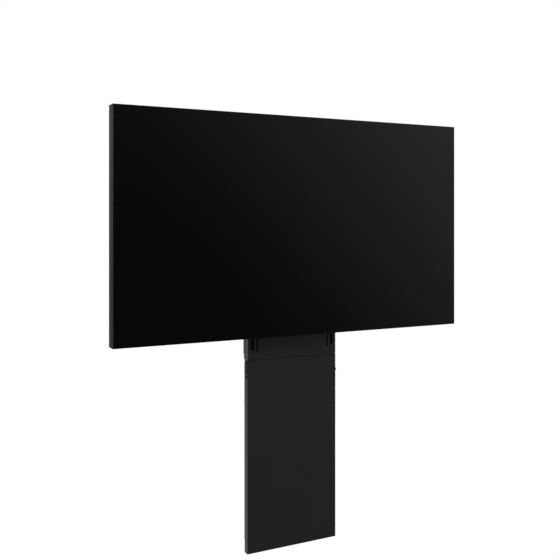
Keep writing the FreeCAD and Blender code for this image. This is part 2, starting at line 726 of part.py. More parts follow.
def make_bump_stops():
    """Rubber stops on the front of both rails, at the two ends of the stroke."""
    half = STOP_WIDTH / 2
    low_top = BLOCK_LOW - LIFT_STROKE - SEAT_GAP
    high_foot = BLOCK_HIGH + BLOCK_LENGTH + SEAT_GAP
    stops = []
    for foot in (low_top - STOP_HEIGHT, high_foot):
        stops += both_sides(block(RAIL_X - half, RAIL_X + half, RAIL_FRONT_Y - STOP_THICK, RAIL_FRONT_Y,
                                  foot, foot + STOP_HEIGHT))
    return Part.makeCompound(stops)


def make_guide_blocks():
    """Four blocks that run on the two rails, each a channel round its rail."""
    half = BLOCK_WIDTH / 2
    rail_half = RAIL_WIDTH / 2 + SLIDE_GAP
    blocks = []
    for foot in (BLOCK_LOW, BLOCK_HIGH):
        body = block(RAIL_X - half, RAIL_X + half, CARRIAGE_BACK_Y, RAIL_SEAT_Y - BLOCK_STANDOFF,
                     foot, foot + BLOCK_LENGTH)
        body = body.cut(block(RAIL_X - rail_half, RAIL_X + rail_half, RAIL_FRONT_Y - SLIDE_GAP,
                              RAIL_SEAT_Y, foot, foot + BLOCK_LENGTH))
        blocks += both_sides(body)
    return Part.makeCompound(blocks)


def carriage_half():
    """Half the width of the carriage plate."""
    return ARM_SLOT_X + ARM_WEB / 2


def make_carriage_plate():
    """Plate that joins the four guide blocks, the arms and the two push tubes."""
    half = carriage_half()
    plate = block(-half, half, CARRIAGE_FRONT_Y, CARRIAGE_BACK_Y, CARRIAGE_FOOT, CARRIAGE_TOP)
    plate = rounded(plate, ARM_CORNER, Vector(0, 1, 0))
    middle = (CARRIAGE_FOOT + CARRIAGE_TOP) / 2 + ROD_TAB_HEIGHT / 2
    window = block(-WINDOW_WIDTH / 2, WINDOW_WIDTH / 2, CARRIAGE_FRONT_Y, CARRIAGE_BACK_Y,
                   middle - WINDOW_HEIGHT / 2, middle + WINDOW_HEIGHT / 2)
    plate = plate.cut(rounded(window, WINDOW_CORNER, Vector(0, 1, 0)))
    return plate.removeSplitter()


def make_arm(x, thickness):
    """Plate on edge that leaves the housing through one slot of the front sheet."""
    arm = block(x - thickness / 2, x + thickness / 2, UPRIGHT_BACK_Y, CARRIAGE_FRONT_Y, ARM_FOOT, ARM_TOP)
    slope = block(x - thickness, x + thickness, CARRIAGE_FRONT_Y - ARM_CORNER, CARRIAGE_FRONT_Y,
                  ARM_FOOT, CARRIAGE_FOOT)
    return arm.cut(slope)


def make_upright():
    """Right upright in front of the column, which carries both crossbars."""
    half = UPRIGHT_WIDTH / 2
    upright = block(ARM_UPRIGHT_X - half, ARM_UPRIGHT_X + half, CROSSBAR_BACK_Y, UPRIGHT_BACK_Y,
                    UPRIGHT_FOOT, ARM_TOP)
    return bevelled(upright, UPRIGHT_CORNER, Vector(0, 1, 0))


def make_crossbar(foot):
    """Box-section crossbar that the display hooks on to."""
    bar = block(-CROSSBAR_HALF, CROSSBAR_HALF, CROSSBAR_FRONT_Y, CROSSBAR_BACK_Y,
                foot, foot + CROSSBAR_HEIGHT)
    bar = bevelled(bar, CROSSBAR_WALL, Vector(1, 0, 0))
    wall = CROSSBAR_WALL
    bar = bar.cut(block(-CROSSBAR_HALF, CROSSBAR_HALF, CROSSBAR_FRONT_Y + wall, CROSSBAR_BACK_Y - wall,
                        foot + wall, foot + CROSSBAR_HEIGHT - wall))
    return bar


def make_crossbar_caps():
    """Plastic plugs that close the ends of both crossbars."""
    caps = []
    inset = CROSSBAR_WALL + SEAT_GAP
    for foot in (CROSSBAR_LOW, CROSSBAR_HIGH):
        face = block(CROSSBAR_HALF, CROSSBAR_HALF + CAP_THICK, CROSSBAR_FRONT_Y, CROSSBAR_BACK_Y,
                     foot, foot + CROSSBAR_HEIGHT)
        face = bevelled(face, CROSSBAR_WALL, Vector(1, 0, 0))
        tongue = block(CROSSBAR_HALF - CAP_TONGUE, CROSSBAR_HALF, CROSSBAR_FRONT_Y + inset,
                       CROSSBAR_BACK_Y - inset, foot + inset, foot + CROSSBAR_HEIGHT - inset)
        caps += both_sides(face.fuse(tongue).removeSplitter())
    return Part.makeCompound(caps)


def make_drive_tube():
    """Right outer tube, fixed, in which the push tube runs."""
    tube = bar_z(DRIVE_TUBE_RADIUS, DRIVE_X, DRIVE_Y, DRIVE_TUBE_FOOT, DRIVE_TUBE_TOP)
    return tube.cut(bar_z(DRIVE_TUBE_RADIUS - DRIVE_TUBE_WALL, DRIVE_X, DRIVE_Y,
                          DRIVE_TUBE_FOOT, DRIVE_TUBE_TOP))


def make_gland():
    """Right hexagonal gland on the outer tube, which guides the push tube."""
    ring = hexagon(GLAND_FLATS, Vector(DRIVE_X, DRIVE_Y, level(DRIVE_TUBE_TOP)), Vector(0, 0, 1),
                   GLAND_HEIGHT)
    return ring.cut(bar_z(PUSH_TUBE_RADIUS + RUNNING_GAP, DRIVE_X, DRIVE_Y, DRIVE_TUBE_TOP,
                          DRIVE_TUBE_TOP + GLAND_HEIGHT))


def make_push_tube():
    """Right push tube, which lifts the carriage."""
    tube = bar_z(PUSH_TUBE_RADIUS, DRIVE_X, DRIVE_Y, PUSH_TUBE_FOOT, ROD_BLOCK_FOOT)
    return tube.cut(bar_z(PUSH_TUBE_RADIUS - PUSH_TUBE_WALL, DRIVE_X, DRIVE_Y,
                          PUSH_TUBE_FOOT, ROD_BLOCK_FOOT))


def make_spindle_nut():
    """Right spindle nut, pressed into the foot of the push tube."""
    body = bar_z(PUSH_TUBE_RADIUS - PUSH_TUBE_WALL - SEAT_GAP / 2, DRIVE_X, DRIVE_Y,
                 PUSH_TUBE_FOOT, PUSH_TUBE_FOOT + NUT_LENGTH)
    return body.cut(bar_z(SPINDLE_RADIUS + RUNNING_GAP, DRIVE_X, DRIVE_Y, PUSH_TUBE_FOOT,
                          PUSH_TUBE_FOOT + NUT_LENGTH))


def make_spindle():
    """Right lifting spindle, with its journal in the gearbox."""
    foot = DRIVE_TUBE_FOOT + BEARING_HEIGHT + SEAT_GAP
    screw = bar_z(SPINDLE_RADIUS, DRIVE_X, DRIVE_Y, foot, PUSH_TUBE_FOOT + NUT_LENGTH + STOP_MARGIN)
    journal = bar_z(SPINDLE_JOURNAL, DRIVE_X, DRIVE_Y, DRIVE_TUBE_FOOT - SPINDLE_JOURNAL_LENGTH, foot)
    return screw.fuse(journal).removeSplitter()


def make_end_bearing():
    """Right thrust bearing at the foot of the spindle."""
    ring = bar_z(DRIVE_TUBE_RADIUS - DRIVE_TUBE_WALL - SEAT_GAP, DRIVE_X, DRIVE_Y,
                 DRIVE_TUBE_FOOT, DRIVE_TUBE_FOOT + BEARING_HEIGHT)
    return ring.cut(bar_z(SPINDLE_JOURNAL + RUNNING_GAP, DRIVE_X, DRIVE_Y,
                          DRIVE_TUBE_FOOT, DRIVE_TUBE_FOOT + BEARING_HEIGHT))


def make_gearmotor():
    """Right geared motor: round motor, neck and square gearbox in one housing."""
    motor_top = SHELF_TOP + MOTOR_HEIGHT
    gearbox_foot = motor_top + MOTOR_NECK_HEIGHT
    motor = bar_z(MOTOR_RADIUS, DRIVE_X, DRIVE_Y, SHELF_TOP, motor_top)
    neck = bar_z(MOTOR_NECK_RADIUS, DRIVE_X, DRIVE_Y, motor_top, gearbox_foot)
    gearbox = block(DRIVE_X - GEARBOX_WIDTH / 2, DRIVE_X + GEARBOX_WIDTH / 2, DRIVE_Y - GEARBOX_DEPTH / 2,
                    DRIVE_Y + GEARBOX_DEPTH / 2, gearbox_foot, DRIVE_TUBE_FOOT)
    socket = bar_z(SPINDLE_JOURNAL + RUNNING_GAP, DRIVE_X, DRIVE_Y,
                   DRIVE_TUBE_FOOT - SPINDLE_JOURNAL_LENGTH - SEAT_GAP, DRIVE_TUBE_FOOT)
    return motor.fuse([neck, gearbox]).cut(socket).removeSplitter()


def make_drive_shelf():
    """Right angle on the lower plate that the drive stands on."""
    front = DRIVE_Y - DRIVE_TUBE_RADIUS
    foot = SHELF_TOP - SHELF_DROP
    outline = [
        (PLATE_FRONT_Y, foot), (PLATE_FRONT_Y, SHELF_TOP), (front, SHELF_TOP),
        (front, SHELF_TOP - SHELF_SHEET), (PLATE_FRONT_Y - SHELF_SHEET, SHELF_TOP - SHELF_SHEET),
        (PLATE_FRONT_Y - SHELF_SHEET, foot),
    ]
    return extruded_x(outline, DRIVE_X - SHELF_WIDTH / 2, DRIVE_X + SHELF_WIDTH / 2)


def make_rod_block():
    """Right block under the carriage plate, with a spigot in the push tube."""
    half = ROD_BLOCK_WIDTH / 2
    body = block(DRIVE_X - half, DRIVE_X + half, DRIVE_Y - ROD_BLOCK_DEPTH / 2,
                 DRIVE_Y + ROD_BLOCK_DEPTH / 2, ROD_BLOCK_FOOT, CARRIAGE_FOOT)
    tab = block(DRIVE_X - half, DRIVE_X + half, CARRIAGE_FRONT_Y - ROD_TAB_THICK, CARRIAGE_FRONT_Y,
                CARRIAGE_FOOT, CARRIAGE_FOOT + ROD_TAB_HEIGHT)
    spigot = bar_z(PUSH_TUBE_RADIUS - PUSH_TUBE_WALL - SEAT_GAP, DRIVE_X, DRIVE_Y,
                   ROD_BLOCK_FOOT - ROD_SPIGOT_LENGTH, ROD_BLOCK_FOOT)
    return body.fuse([tab, spigot]).removeSplitter()


def make_saddle():
    """Right saddle that steadies the outer tube half way up."""
    half = SADDLE_WIDTH / 2
    foot = (DRIVE_TUBE_FOOT + DRIVE_TUBE_TOP - SADDLE_HEIGHT) / 2
    saddle = block(DRIVE_X - half, DRIVE_X + half, DRIVE_Y, PLATE_FRONT_Y, foot, foot + SADDLE_HEIGHT)
    return saddle.cut(bar_z(DRIVE_TUBE_RADIUS + SEAT_GAP, DRIVE_X, DRIVE_Y, foot, foot + SADDLE_HEIGHT))


def make_case(x, height):
    """Open tray of an electrical box on the lower plate."""
    half = BOX_WIDTH / 2
    front = PLATE_FRONT_Y - BOX_DEPTH
    case = block(x - half, x + half, front, PLATE_FRONT_Y, BOX_FOOT, BOX_FOOT + height)
    return bevelled(case, BOX_CORNER, Vector(0, 1, 0))


def make_control_lid():
    """Lid of the control box."""
    half = BOX_WIDTH / 2 - LID_LIP
    back = PLATE_FRONT_Y - BOX_DEPTH
    lid = block(-BOX_X - half, -BOX_X + half, back - LID_THICK, back, BOX_FOOT + LID_LIP,
                BOX_FOOT + CONTROL_HEIGHT - LID_LIP)
    return bevelled(lid, BOX_CORNER, Vector(0, 1, 0))


def make_heat_sink():
    """Finned cooler on the power supply."""
    half = BOX_WIDTH / 2 - LID_LIP
    back = PLATE_FRONT_Y - BOX_DEPTH
    base = back - COOLER_BASE
    low = BOX_FOOT + LID_LIP
    high = BOX_FOOT + SUPPLY_HEIGHT - LID_LIP
    sink = block(BOX_X - half, BOX_X + half, base, back, low, high)
    pitch = (2 * half - FIN_WIDTH) / (FIN_COUNT - 1)
    for index in range(FIN_COUNT):
        left = BOX_X - half + index * pitch
        sink = sink.fuse(block(left, left + FIN_WIDTH, base - FIN_HEIGHT, base, low, high))
    return sink.removeSplitter()


def make_mains_inlet():
    """Mains inlet beside the foot of the lower plate: body with its socket facing down, and blades."""
    half = INLET_WIDTH / 2
    middle = PLATE_FRONT_Y - INLET_DEPTH / 2
    body = block(INLET_X - half, INLET_X + half, PLATE_FRONT_Y - INLET_DEPTH, PLATE_FRONT_Y,
                 PLATE_FOOT, PLATE_FOOT + INLET_HEIGHT)
    recess = block(INLET_X - SOCKET_WIDTH / 2, INLET_X + SOCKET_WIDTH / 2, middle - SOCKET_DEPTH / 2,
                   middle + SOCKET_DEPTH / 2, PLATE_FOOT, PLATE_FOOT + SOCKET_RECESS)
    pieces = [body.cut(recess)]
    for index in (-1, 0, 1):
        x = INLET_X + index * INLET_BLADE_PITCH
        pieces.append(block(x - INLET_BLADE / 2, x + INLET_BLADE / 2, middle - INLET_BLADE,
                            middle + INLET_BLADE, PLATE_FOOT + INLET_BLADE_INSET,
                            PLATE_FOOT + SOCKET_RECESS))
    return Part.makeCompound(pieces)


def display_top():
    """Height of the display's top edge."""
    return DISPLAY_FOOT + DISPLAY_HEIGHT


def make_front_glass():
    """Bonded front glass over the whole face."""
    half = DISPLAY_WIDTH / 2 - GLASS_EDGE
    glass = block(-half, half, DISPLAY_FRONT_Y, GLASS_BACK_Y, DISPLAY_FOOT + GLASS_EDGE,
                  display_top() - GLASS_EDGE)
    return rounded(glass, GLASS_CORNER, Vector(0, 1, 0))


def edge_outline(outer, inner):
    """Section of an edge profile: outer wall and the ledge that the glass is bonded to."""
    wall = EDGE_WALL if inner > outer else -EDGE_WALL
    ledge = EDGE_LEDGE if inner > outer else -EDGE_LEDGE
    return [
        (outer, GLASS_BACK_Y), (outer + ledge, GLASS_BACK_Y), (outer + ledge, LEDGE_BACK_Y),
        (outer + wall, LEDGE_BACK_Y), (outer + wall, DISPLAY_BACK_Y), (outer, DISPLAY_BACK_Y),
    ]


def make_side_edge():
    """Right edge profile of the display, over its full height."""
    half = DISPLAY_WIDTH / 2
    profile = extruded_z(edge_outline(half, 0), DISPLAY_FOOT, display_top())
    return rounded(profile, EDGE_ROUND, Vector(0, 0, 1), lambda at: at.x > half - NEAR)


def make_level_edge(outer, inner):
    """Top or bottom edge profile: its wall reaches the side walls, its ledge the side ledges."""
    points = [(y, height) for height, y in edge_outline(outer, inner)]
    half = DISPLAY_WIDTH / 2 - EDGE_LEDGE
    reach = DISPLAY_WIDTH / 2 - EDGE_WALL
    low, high = sorted((outer, outer + (EDGE_WALL if inner > outer else -EDGE_WALL)))
    wall = block(-reach, reach, LEDGE_BACK_Y, DISPLAY_BACK_Y, low, high)
    return extruded_x(points, -half, half).fuse(wall).removeSplitter()


def make_bottom_edge():
    """Bottom edge profile with the slots of the two loudspeakers."""
    profile = make_level_edge(DISPLAY_FOOT, display_top())
    for side in (-1, 1):
        for index in range(GRILLE_COUNT):
            x = side * SPEAKER_X + (index - (GRILLE_COUNT - 1) / 2) * GRILLE_PITCH
            front = DISPLAY_BACK_Y - COVER_PLATE - SEAT_GAP - GRILLE_HEIGHT
            profile = profile.cut(block(x - GRILLE_WIDTH / 2, x + GRILLE_WIDTH / 2, front + GRILLE_WIDTH,
                                        front + GRILLE_HEIGHT - GRILLE_WIDTH, DISPLAY_FOOT,
                                        DISPLAY_FOOT + EDGE_WALL))
    return profile


def make_picture_panel():
    """Liquid crystal panel and its diffuser behind the ledges."""
    half = DISPLAY_WIDTH / 2 - EDGE_WALL - PANEL_MARGIN
    margin = EDGE_WALL + PANEL_MARGIN
    return block(-half, half, LEDGE_BACK_Y, PANEL_BACK_Y, DISPLAY_FOOT + margin, display_top() - margin)


def make_light_tray():
    """Tray of thin sheet that carries the panel, with upright raised ribs on its back."""
    half = DISPLAY_WIDTH / 2 - EDGE_WALL - TRAY_MARGIN
    low = DISPLAY_FOOT + EDGE_WALL + TRAY_MARGIN
    high = display_top() - EDGE_WALL - TRAY_MARGIN
    tray = block(-half, half, PANEL_BACK_Y, TRAY_BACK_Y, low, high)
    pitch = (2 * half - TRAY_RIB_WIDTH) / (TRAY_RIB_COUNT - 1)
    for index in range(TRAY_RIB_COUNT):
        left = -half + index * pitch
        rib = block(left, left + TRAY_RIB_WIDTH, TRAY_BACK_Y, TRAY_BACK_Y + TRAY_RIB_HEIGHT, low, high)
        tray = tray.fuse(rib)
    return tray.removeSplitter()


def screen_holes():
    """Places of the four fixing holes in the back of the display."""
    rows = (DISPLAY_MIDDLE - SCREEN_HOLE_RISE / 2, DISPLAY_MIDDLE + SCREEN_HOLE_RISE / 2)
    return [(side * SCREEN_HOLE_SPAN / 2, row) for row in rows for side in (-1, 1)]


def make_screen_bosses():
    """Hexagonal threaded posts from the light tray to the rear cover."""
    posts = []
    for x, height in screen_holes():
        post = hexagon(STANDOFF_FLATS, Vector(x, TRAY_BACK_Y, level(height)), Vector(0, 1, 0),
                       COVER_PLATE_Y - TRAY_BACK_Y)
        posts.append(post.cut(bar_y(SCREEN_BOLT_RADIUS + SCREW_GAP, x, height, TRAY_BACK_Y, COVER_PLATE_Y)))
    return Part.makeCompound(posts)


def vent_places():
    """Places of the vent slots: a left and a right field near the top of the rear cover."""
    top = display_top() - VENT_TOP_MARGIN
    places = []
    for side in (-1, 1):
        for index in range(VENT_COUNT):
            places.append((side * VENT_X, top - index * VENT_PITCH))
    return places


def port_window():
    """X and heights of the opening for the socket panel."""
    left = PORT_PANEL_X - PORT_PANEL_WIDTH / 2
    foot = DISPLAY_FOOT + PORT_PANEL_FOOT
    return left, left + PORT_PANEL_WIDTH, foot, foot + PORT_PANEL_HEIGHT


def display_inlet_window():
    """X and heights of the opening for the display's mains inlet."""
    left = DISPLAY_INLET_X - DISPLAY_INLET_WIDTH / 2
    foot = DISPLAY_FOOT + DISPLAY_INLET_FOOT
    return left, left + DISPLAY_INLET_WIDTH, foot, foot + DISPLAY_INLET_HEIGHT


def switch_window():
    """X and heights of the opening for the switch frame."""
    half = ROCKER_WIDTH / 2 + SWITCH_FRAME
    middle = DISPLAY_FOOT + DISPLAY_INLET_FOOT + DISPLAY_INLET_HEIGHT / 2
    rise = ROCKER_HEIGHT / 2 + SWITCH_FRAME
    return ROCKER_X - half, ROCKER_X + half, middle - rise, middle + rise


def make_rear_cover():
    """Rear cover of the display with vents, fixing holes and openings for the sockets."""
    half = DISPLAY_WIDTH / 2 - EDGE_WALL - SEAT_GAP
    margin = EDGE_WALL + SEAT_GAP
    cover = block(-half, half, COVER_PLATE_Y, DISPLAY_BACK_Y, DISPLAY_FOOT + margin, display_top() - margin)
    cuts = []
    for x, height in vent_places():
        cuts.append(block(x - VENT_LENGTH / 2, x + VENT_LENGTH / 2, COVER_PLATE_Y, DISPLAY_BACK_Y,
                          height - VENT_WIDTH / 2, height + VENT_WIDTH / 2))
    for x, height in screen_holes():
        cuts.append(bar_y(SCREEN_BOLT_RADIUS + SCREW_GAP, x, height, COVER_PLATE_Y, DISPLAY_BACK_Y))
    for left, right, low, high in (port_window(), display_inlet_window(), switch_window()):
        cuts.append(block(left, right, COVER_PLATE_Y, DISPLAY_BACK_Y, low, high))
    return cover.cut(cuts).removeSplitter()


def make_port_panel():
    """Recessed socket panel: a shallow tray with five sockets in its floor."""
    left, right, low, high = port_window()
    gap = SEAT_GAP
    front = DISPLAY_BACK_Y - PORT_PANEL_RECESS
    wall = PORT_PANEL_WALL
    tray = block(left + gap, right - gap, front, DISPLAY_BACK_Y, low + gap, high - gap)
    tray = tray.cut(block(left + gap + wall, right - gap - wall, front + PORT_DEPTH + wall, DISPLAY_BACK_Y,
                          low + gap + wall, high - gap - wall))
    middle = (low + high) / 2
    for index in range(PORT_COUNT):
        x = PORT_PANEL_X + (index - (PORT_COUNT - 1) / 2) * PORT_PITCH
        tray = tray.cut(block(x - PORT_WIDTH / 2, x + PORT_WIDTH / 2, front + wall, front + PORT_DEPTH + wall,
                              middle - PORT_HEIGHT / 2, middle + PORT_HEIGHT / 2))
    return tray.removeSplitter()


def make_display_inlet():
    """Mains inlet of the display, facing back."""
    left, right, low, high = display_inlet_window()
    gap = SEAT_GAP
    body = block(left + gap, right - gap, DISPLAY_BACK_Y - DISPLAY_INLET_DEPTH, DISPLAY_BACK_Y,
                 low + gap, high - gap)
    middle = (low + high) / 2
    x = DISPLAY_INLET_X
    recess = block(x - SOCKET_WIDTH / 2, x + SOCKET_WIDTH / 2, DISPLAY_BACK_Y - SOCKET_RECESS,
                   DISPLAY_BACK_Y, middle - SOCKET_DEPTH / 2, middle + SOCKET_DEPTH / 2)
    return body.cut(recess)


def make_switch_frame():
    """Frame of the display's power switch."""
    left, right, low, high = switch_window()
    gap = SEAT_GAP
    body = block(left + gap, right - gap, DISPLAY_BACK_Y - SWITCH_DEPTH, DISPLAY_BACK_Y,
                 low + gap, high - gap)
    middle = (low + high) / 2
    hollow = block(ROCKER_X - ROCKER_WIDTH / 2 - gap, ROCKER_X + ROCKER_WIDTH / 2 + gap,
                   DISPLAY_BACK_Y - SWITCH_DEPTH + SWITCH_FRAME, DISPLAY_BACK_Y,
                   middle - ROCKER_HEIGHT / 2 - gap, middle + ROCKER_HEIGHT / 2 + gap)
    return body.cut(hollow)


def make_power_rocker():
    """Rocker of the power switch: a shallow V that tilts about a level axis along Z."""
    middle = DISPLAY_FOOT + DISPLAY_INLET_FOOT + DISPLAY_INLET_HEIGHT / 2
    half = ROCKER_WIDTH / 2
    back = DISPLAY_BACK_Y
    front = back - 2 * ROCKER_TILT_DEPTH
    outline = [
        (ROCKER_X - half + 2 * SEAT_GAP, back - ROCKER_TILT_DEPTH / 4),
        (ROCKER_X, back - ROCKER_TILT_DEPTH / 2),
        (ROCKER_X + half - 2 * SEAT_GAP, back - ROCKER_TILT_DEPTH / 4), (ROCKER_X + half / 2, front),
        (ROCKER_X - half / 2, front),
    ]
    return extruded_z(outline, middle - ROCKER_HEIGHT / 2, middle + ROCKER_HEIGHT / 2)


def make_board():
    """Right circuit board with its screening can, on short posts behind the light tray."""
    x = BOARD_X
    half = BOARD_WIDTH / 2
    front = TRAY_BACK_Y + BOARD_STANDOFF
    low = DISPLAY_MIDDLE - BOARD_HEIGHT / 2
    high = DISPLAY_MIDDLE + BOARD_HEIGHT / 2
    board = block(x - half, x + half, front, front + EDGE_WALL, low, high)
    can = CAN_WIDTH / 2
    board = board.fuse(block(x - can, x + can, front + EDGE_WALL, front + BOARD_THICK,
                             low + CAN_MARGIN, high - CAN_MARGIN))
    for post in (x - half + BOARD_POST_INSET, x + half - BOARD_POST_INSET):
        for height in (low + BOARD_POST_INSET, high - BOARD_POST_INSET):
            board = board.fuse(block(post - BOARD_POST / 2, post + BOARD_POST / 2, TRAY_BACK_Y, front,
                                     height - BOARD_POST / 2, height + BOARD_POST / 2))
    return board.removeSplitter()


def make_speaker():
    """Right loudspeaker box over the slots of the bottom edge."""
    half = SPEAKER_WIDTH / 2
    low = DISPLAY_FOOT + EDGE_WALL
    back = COVER_PLATE_Y - SEAT_GAP
    return block(SPEAKER_X - half, SPEAKER_X + half, back - SPEAKER_DEPTH, back, low, low + SPEAKER_HEIGHT)


def make_handle():
    """Right lifting handle on the rear cover, a bow with rounded corners."""
    low = DISPLAY_MIDDLE - HANDLE_LENGTH / 2
    high = DISPLAY_MIDDLE + HANDLE_LENGTH / 2
    back = DISPLAY_BACK_Y + HANDLE_REACH
    inner = back - HANDLE_THICK
    outline = [
        (DISPLAY_BACK_Y, low), (back, low), (back, high), (DISPLAY_BACK_Y, high),
        (DISPLAY_BACK_Y, high - HANDLE_THICK), (inner, high - HANDLE_THICK),
        (inner, low + HANDLE_THICK), (DISPLAY_BACK_Y, low + HANDLE_THICK),
    ]
    half = HANDLE_WIDTH / 2
    bow = extruded_x(outline, HANDLE_X - half, HANDLE_X + half)
    bow = rounded(bow, HANDLE_CORNER, Vector(1, 0, 0), lambda at: at.y > back - NEAR)
    return rounded(bow, HANDLE_CORNER / 2, Vector(1, 0, 0), lambda at: abs(at.y - inner) < NEAR)


def make_hook_strip():
    """Right strip behind the display: a channel whose flanges hook over the upper crossbar."""
    x = SCREEN_HOLE_SPAN / 2
    half = STRIP_WIDTH / 2
    foot = CROSSBAR_LOW - STRIP_FOOT_MARGIN
    top = CROSSBAR_HIGH + CROSSBAR_HEIGHT + STRIP_TOP_MARGIN
    bar_top = CROSSBAR_HIGH + CROSSBAR_HEIGHT + HOOK_GAP
    nose_y = CROSSBAR_BACK_Y + HOOK_GAP
    outline = [
        (STRIP_FRONT_Y, foot), (STRIP_FRONT_Y, top), (STRIP_BACK_Y, top),
        (STRIP_BACK_Y, bar_top + HOOK_TOP), (nose_y + HOOK_NOSE, bar_top + HOOK_TOP),
        (nose_y + HOOK_NOSE, bar_top - HOOK_NOSE_DROP), (nose_y, bar_top - HOOK_NOSE_DROP),
        (nose_y, bar_top), (STRIP_BACK_Y, bar_top), (STRIP_BACK_Y, CROSSBAR_LOW - EAR_DROP),
        (STRIP_BACK_Y + EAR_DEPTH, CROSSBAR_LOW - EAR_DROP), (STRIP_BACK_Y + EAR_DEPTH, foot),
    ]
    strip = block(x - half, x + half, DISPLAY_BACK_Y, STRIP_FRONT_Y, foot, top)
    for left in (x - half, x + half - STRIP_FLANGE):
        strip = strip.fuse(extruded_x(outline, left, left + STRIP_FLANGE))
    for height in (DISPLAY_MIDDLE - SCREEN_HOLE_RISE / 2, DISPLAY_MIDDLE + SCREEN_HOLE_RISE / 2):
        strip = strip.cut(bar_y(SCREEN_BOLT_RADIUS + SCREW_GAP, x, height, DISPLAY_BACK_Y, STRIP_FRONT_Y))
    pin = bar_x(LATCH_PIN_RADIUS + SEAT_GAP, LATCH_PIVOT_Y, LATCH_PIVOT, x - half, x + half)
    return strip.cut(pin).removeSplitter()


def make_screen_bolts():
    """Bolts that fix the hook strips to the back of the display."""
    bolts = [hex_bolt(SCREEN_BOLT_RADIUS, SCREEN_BOLT_HEAD, x, height, STRIP_FRONT_Y,
                      STRIP_FRONT_Y - SCREEN_BOLT_REACH) for x, height in screen_holes()]
    return Part.makeCompound(bolts)


def make_latch():
    """Right safety latch: a pawl whose nose stands behind the lower crossbar."""
    x = SCREEN_HOLE_SPAN / 2
    arm_top = CROSSBAR_LOW - LATCH_ARM_DROP
    arm_foot = arm_top - LATCH_ARM_HEIGHT
    nose_y = CROSSBAR_BACK_Y + HOOK_GAP
    front = LATCH_PIVOT_Y - LATCH_EYE / 2
    back = LATCH_PIVOT_Y + LATCH_EYE / 2
    outline = [
        (front, LATCH_PIVOT - LATCH_TAIL), (back, LATCH_PIVOT - LATCH_TAIL), (back, LATCH_PIVOT),
        (nose_y, arm_foot), (nose_y + LATCH_NOSE, arm_foot),
        (nose_y + LATCH_NOSE, arm_top + LATCH_NOSE_RISE), (nose_y, arm_top + LATCH_NOSE_RISE),
        (nose_y, arm_top), (front, arm_top),
    ]
    pawl = extruded_x(outline, x - LATCH_THICK / 2, x + LATCH_THICK / 2)
    pawl = rounded(pawl, LATCH_TAIL_CORNER, Vector(1, 0, 0),
                   lambda at: at.z < level(LATCH_PIVOT - LATCH_TAIL) + NEAR)
    return pawl.cut(bar_x(LATCH_PIN_RADIUS + RUNNING_GAP, LATCH_PIVOT_Y, LATCH_PIVOT,
                          x - LATCH_THICK, x + LATCH_THICK))


def make_latch_pin():
    """Right latch pin across the flanges of its strip."""
    x = SCREEN_HOLE_SPAN / 2
    half = STRIP_WIDTH / 2 + LATCH_PIN_PROUD
    return bar_x(LATCH_PIN_RADIUS, LATCH_PIVOT_Y, LATCH_PIVOT, x - half, x + half)


def paired(name, shape):
    """Left and right nodes of one piece that is drawn on the right."""
    return {"right_" + name: shape, "left_" + name: mirrored(shape)}


def make_column():
    """Nodes of the wall bracket, the housing and the lower section."""
    nodes = {
        "wall_bracket": make_wall_bracket(),
        "upper_back_plate": make_upper_back_plate(),
        "bracket_bolts": make_bracket_bolts(),
        "slotted_front": make_slotted_front(),
        "top_cap": make_top_cap(),
        "lower_back_plate": make_lower_back_plate(),
        "joining_bar": make_joining_bar(),
        "lower_wall_bracket": make_lower_wall_bracket(),
        "lower_cover": make_lower_cover(),
        "cover_brackets": group_of(make_cover_bracket(), make_cover_hook()),
        "cover_pins": group_of(make_cover_pin()),
        "rails": group_of(make_rail()),
        "bump_stops": make_bump_stops(),
        "control_box": make_case(-BOX_X, CONTROL_HEIGHT),
        "control_lid": make_control_lid(),
        "power_supply": make_case(BOX_X, SUPPLY_HEIGHT),
        "heat_sink": make_heat_sink(),
        "mains_inlet": make_mains_inlet(),
    }
    nodes.update(paired("cheek", make_right_cheek()))
    return nodes


def make_drives():
    """Nodes of the two spindle drives that stay with the column, and their spindles."""
    nodes = {
        "drive_tubes": group_of(make_drive_tube()),
        "glands": group_of(make_gland()),
        "end_bearings": group_of(make_end_bearing()),
        "gearmotors": group_of(make_gearmotor()),
        "drive_brackets": group_of(make_drive_shelf(), make_saddle()),
    }
    nodes.update(paired("spindle", make_spindle()))
    return nodes


def make_carriage():
    """Nodes that travel with the carriage."""
    nodes = {
        "carriage_plate": make_carriage_plate(),
        "guide_blocks": make_guide_blocks(),
        "carriage_arms": group_of(make_arm(ARM_SLOT_X, ARM_WEB), make_arm(GUIDE_SLOT_X, ARM_GUIDE)),
        "uprights": group_of(make_upright()),
        "upper_crossbar": make_crossbar(CROSSBAR_HIGH),
        "lower_crossbar": make_crossbar(CROSSBAR_LOW),
        "crossbar_caps": make_crossbar_caps(),
        "rod_blocks": group_of(make_rod_block()),
        "push_tubes": group_of(make_push_tube()),
        "spindle_nuts": group_of(make_spindle_nut()),
    }
    return nodes


def make_display():
    """Nodes of the display and of the strips that hang it on the crossbars."""
    nodes = {
        "front_glass": make_front_glass(),
        "top_edge": make_level_edge(display_top(), DISPLAY_FOOT),
        "bottom_edge": make_bottom_edge(),
        "picture_panel": make_picture_panel(),
        "light_tray": make_light_tray(),
        "rear_cover": make_rear_cover(),
        "screen_bosses": make_screen_bosses(),
        "screen_bolts": make_screen_bolts(),
        "circuit_boards": group_of(make_board()),
        "speakers": group_of(make_speaker()),
        "rear_handles": group_of(make_handle()),
        "hook_strips": group_of(make_hook_strip()),
        "port_panel": make_port_panel(),
        "display_inlet": make_display_inlet(),
        "switch_frame": make_switch_frame(),
        "power_rocker": make_power_rocker(),
        "latch_pins": group_of(make_latch_pin()),
    }
    nodes.update(paired("side_edge", make_side_edge()))
    nodes.update(paired("latch", make_latch()))
    return nodes


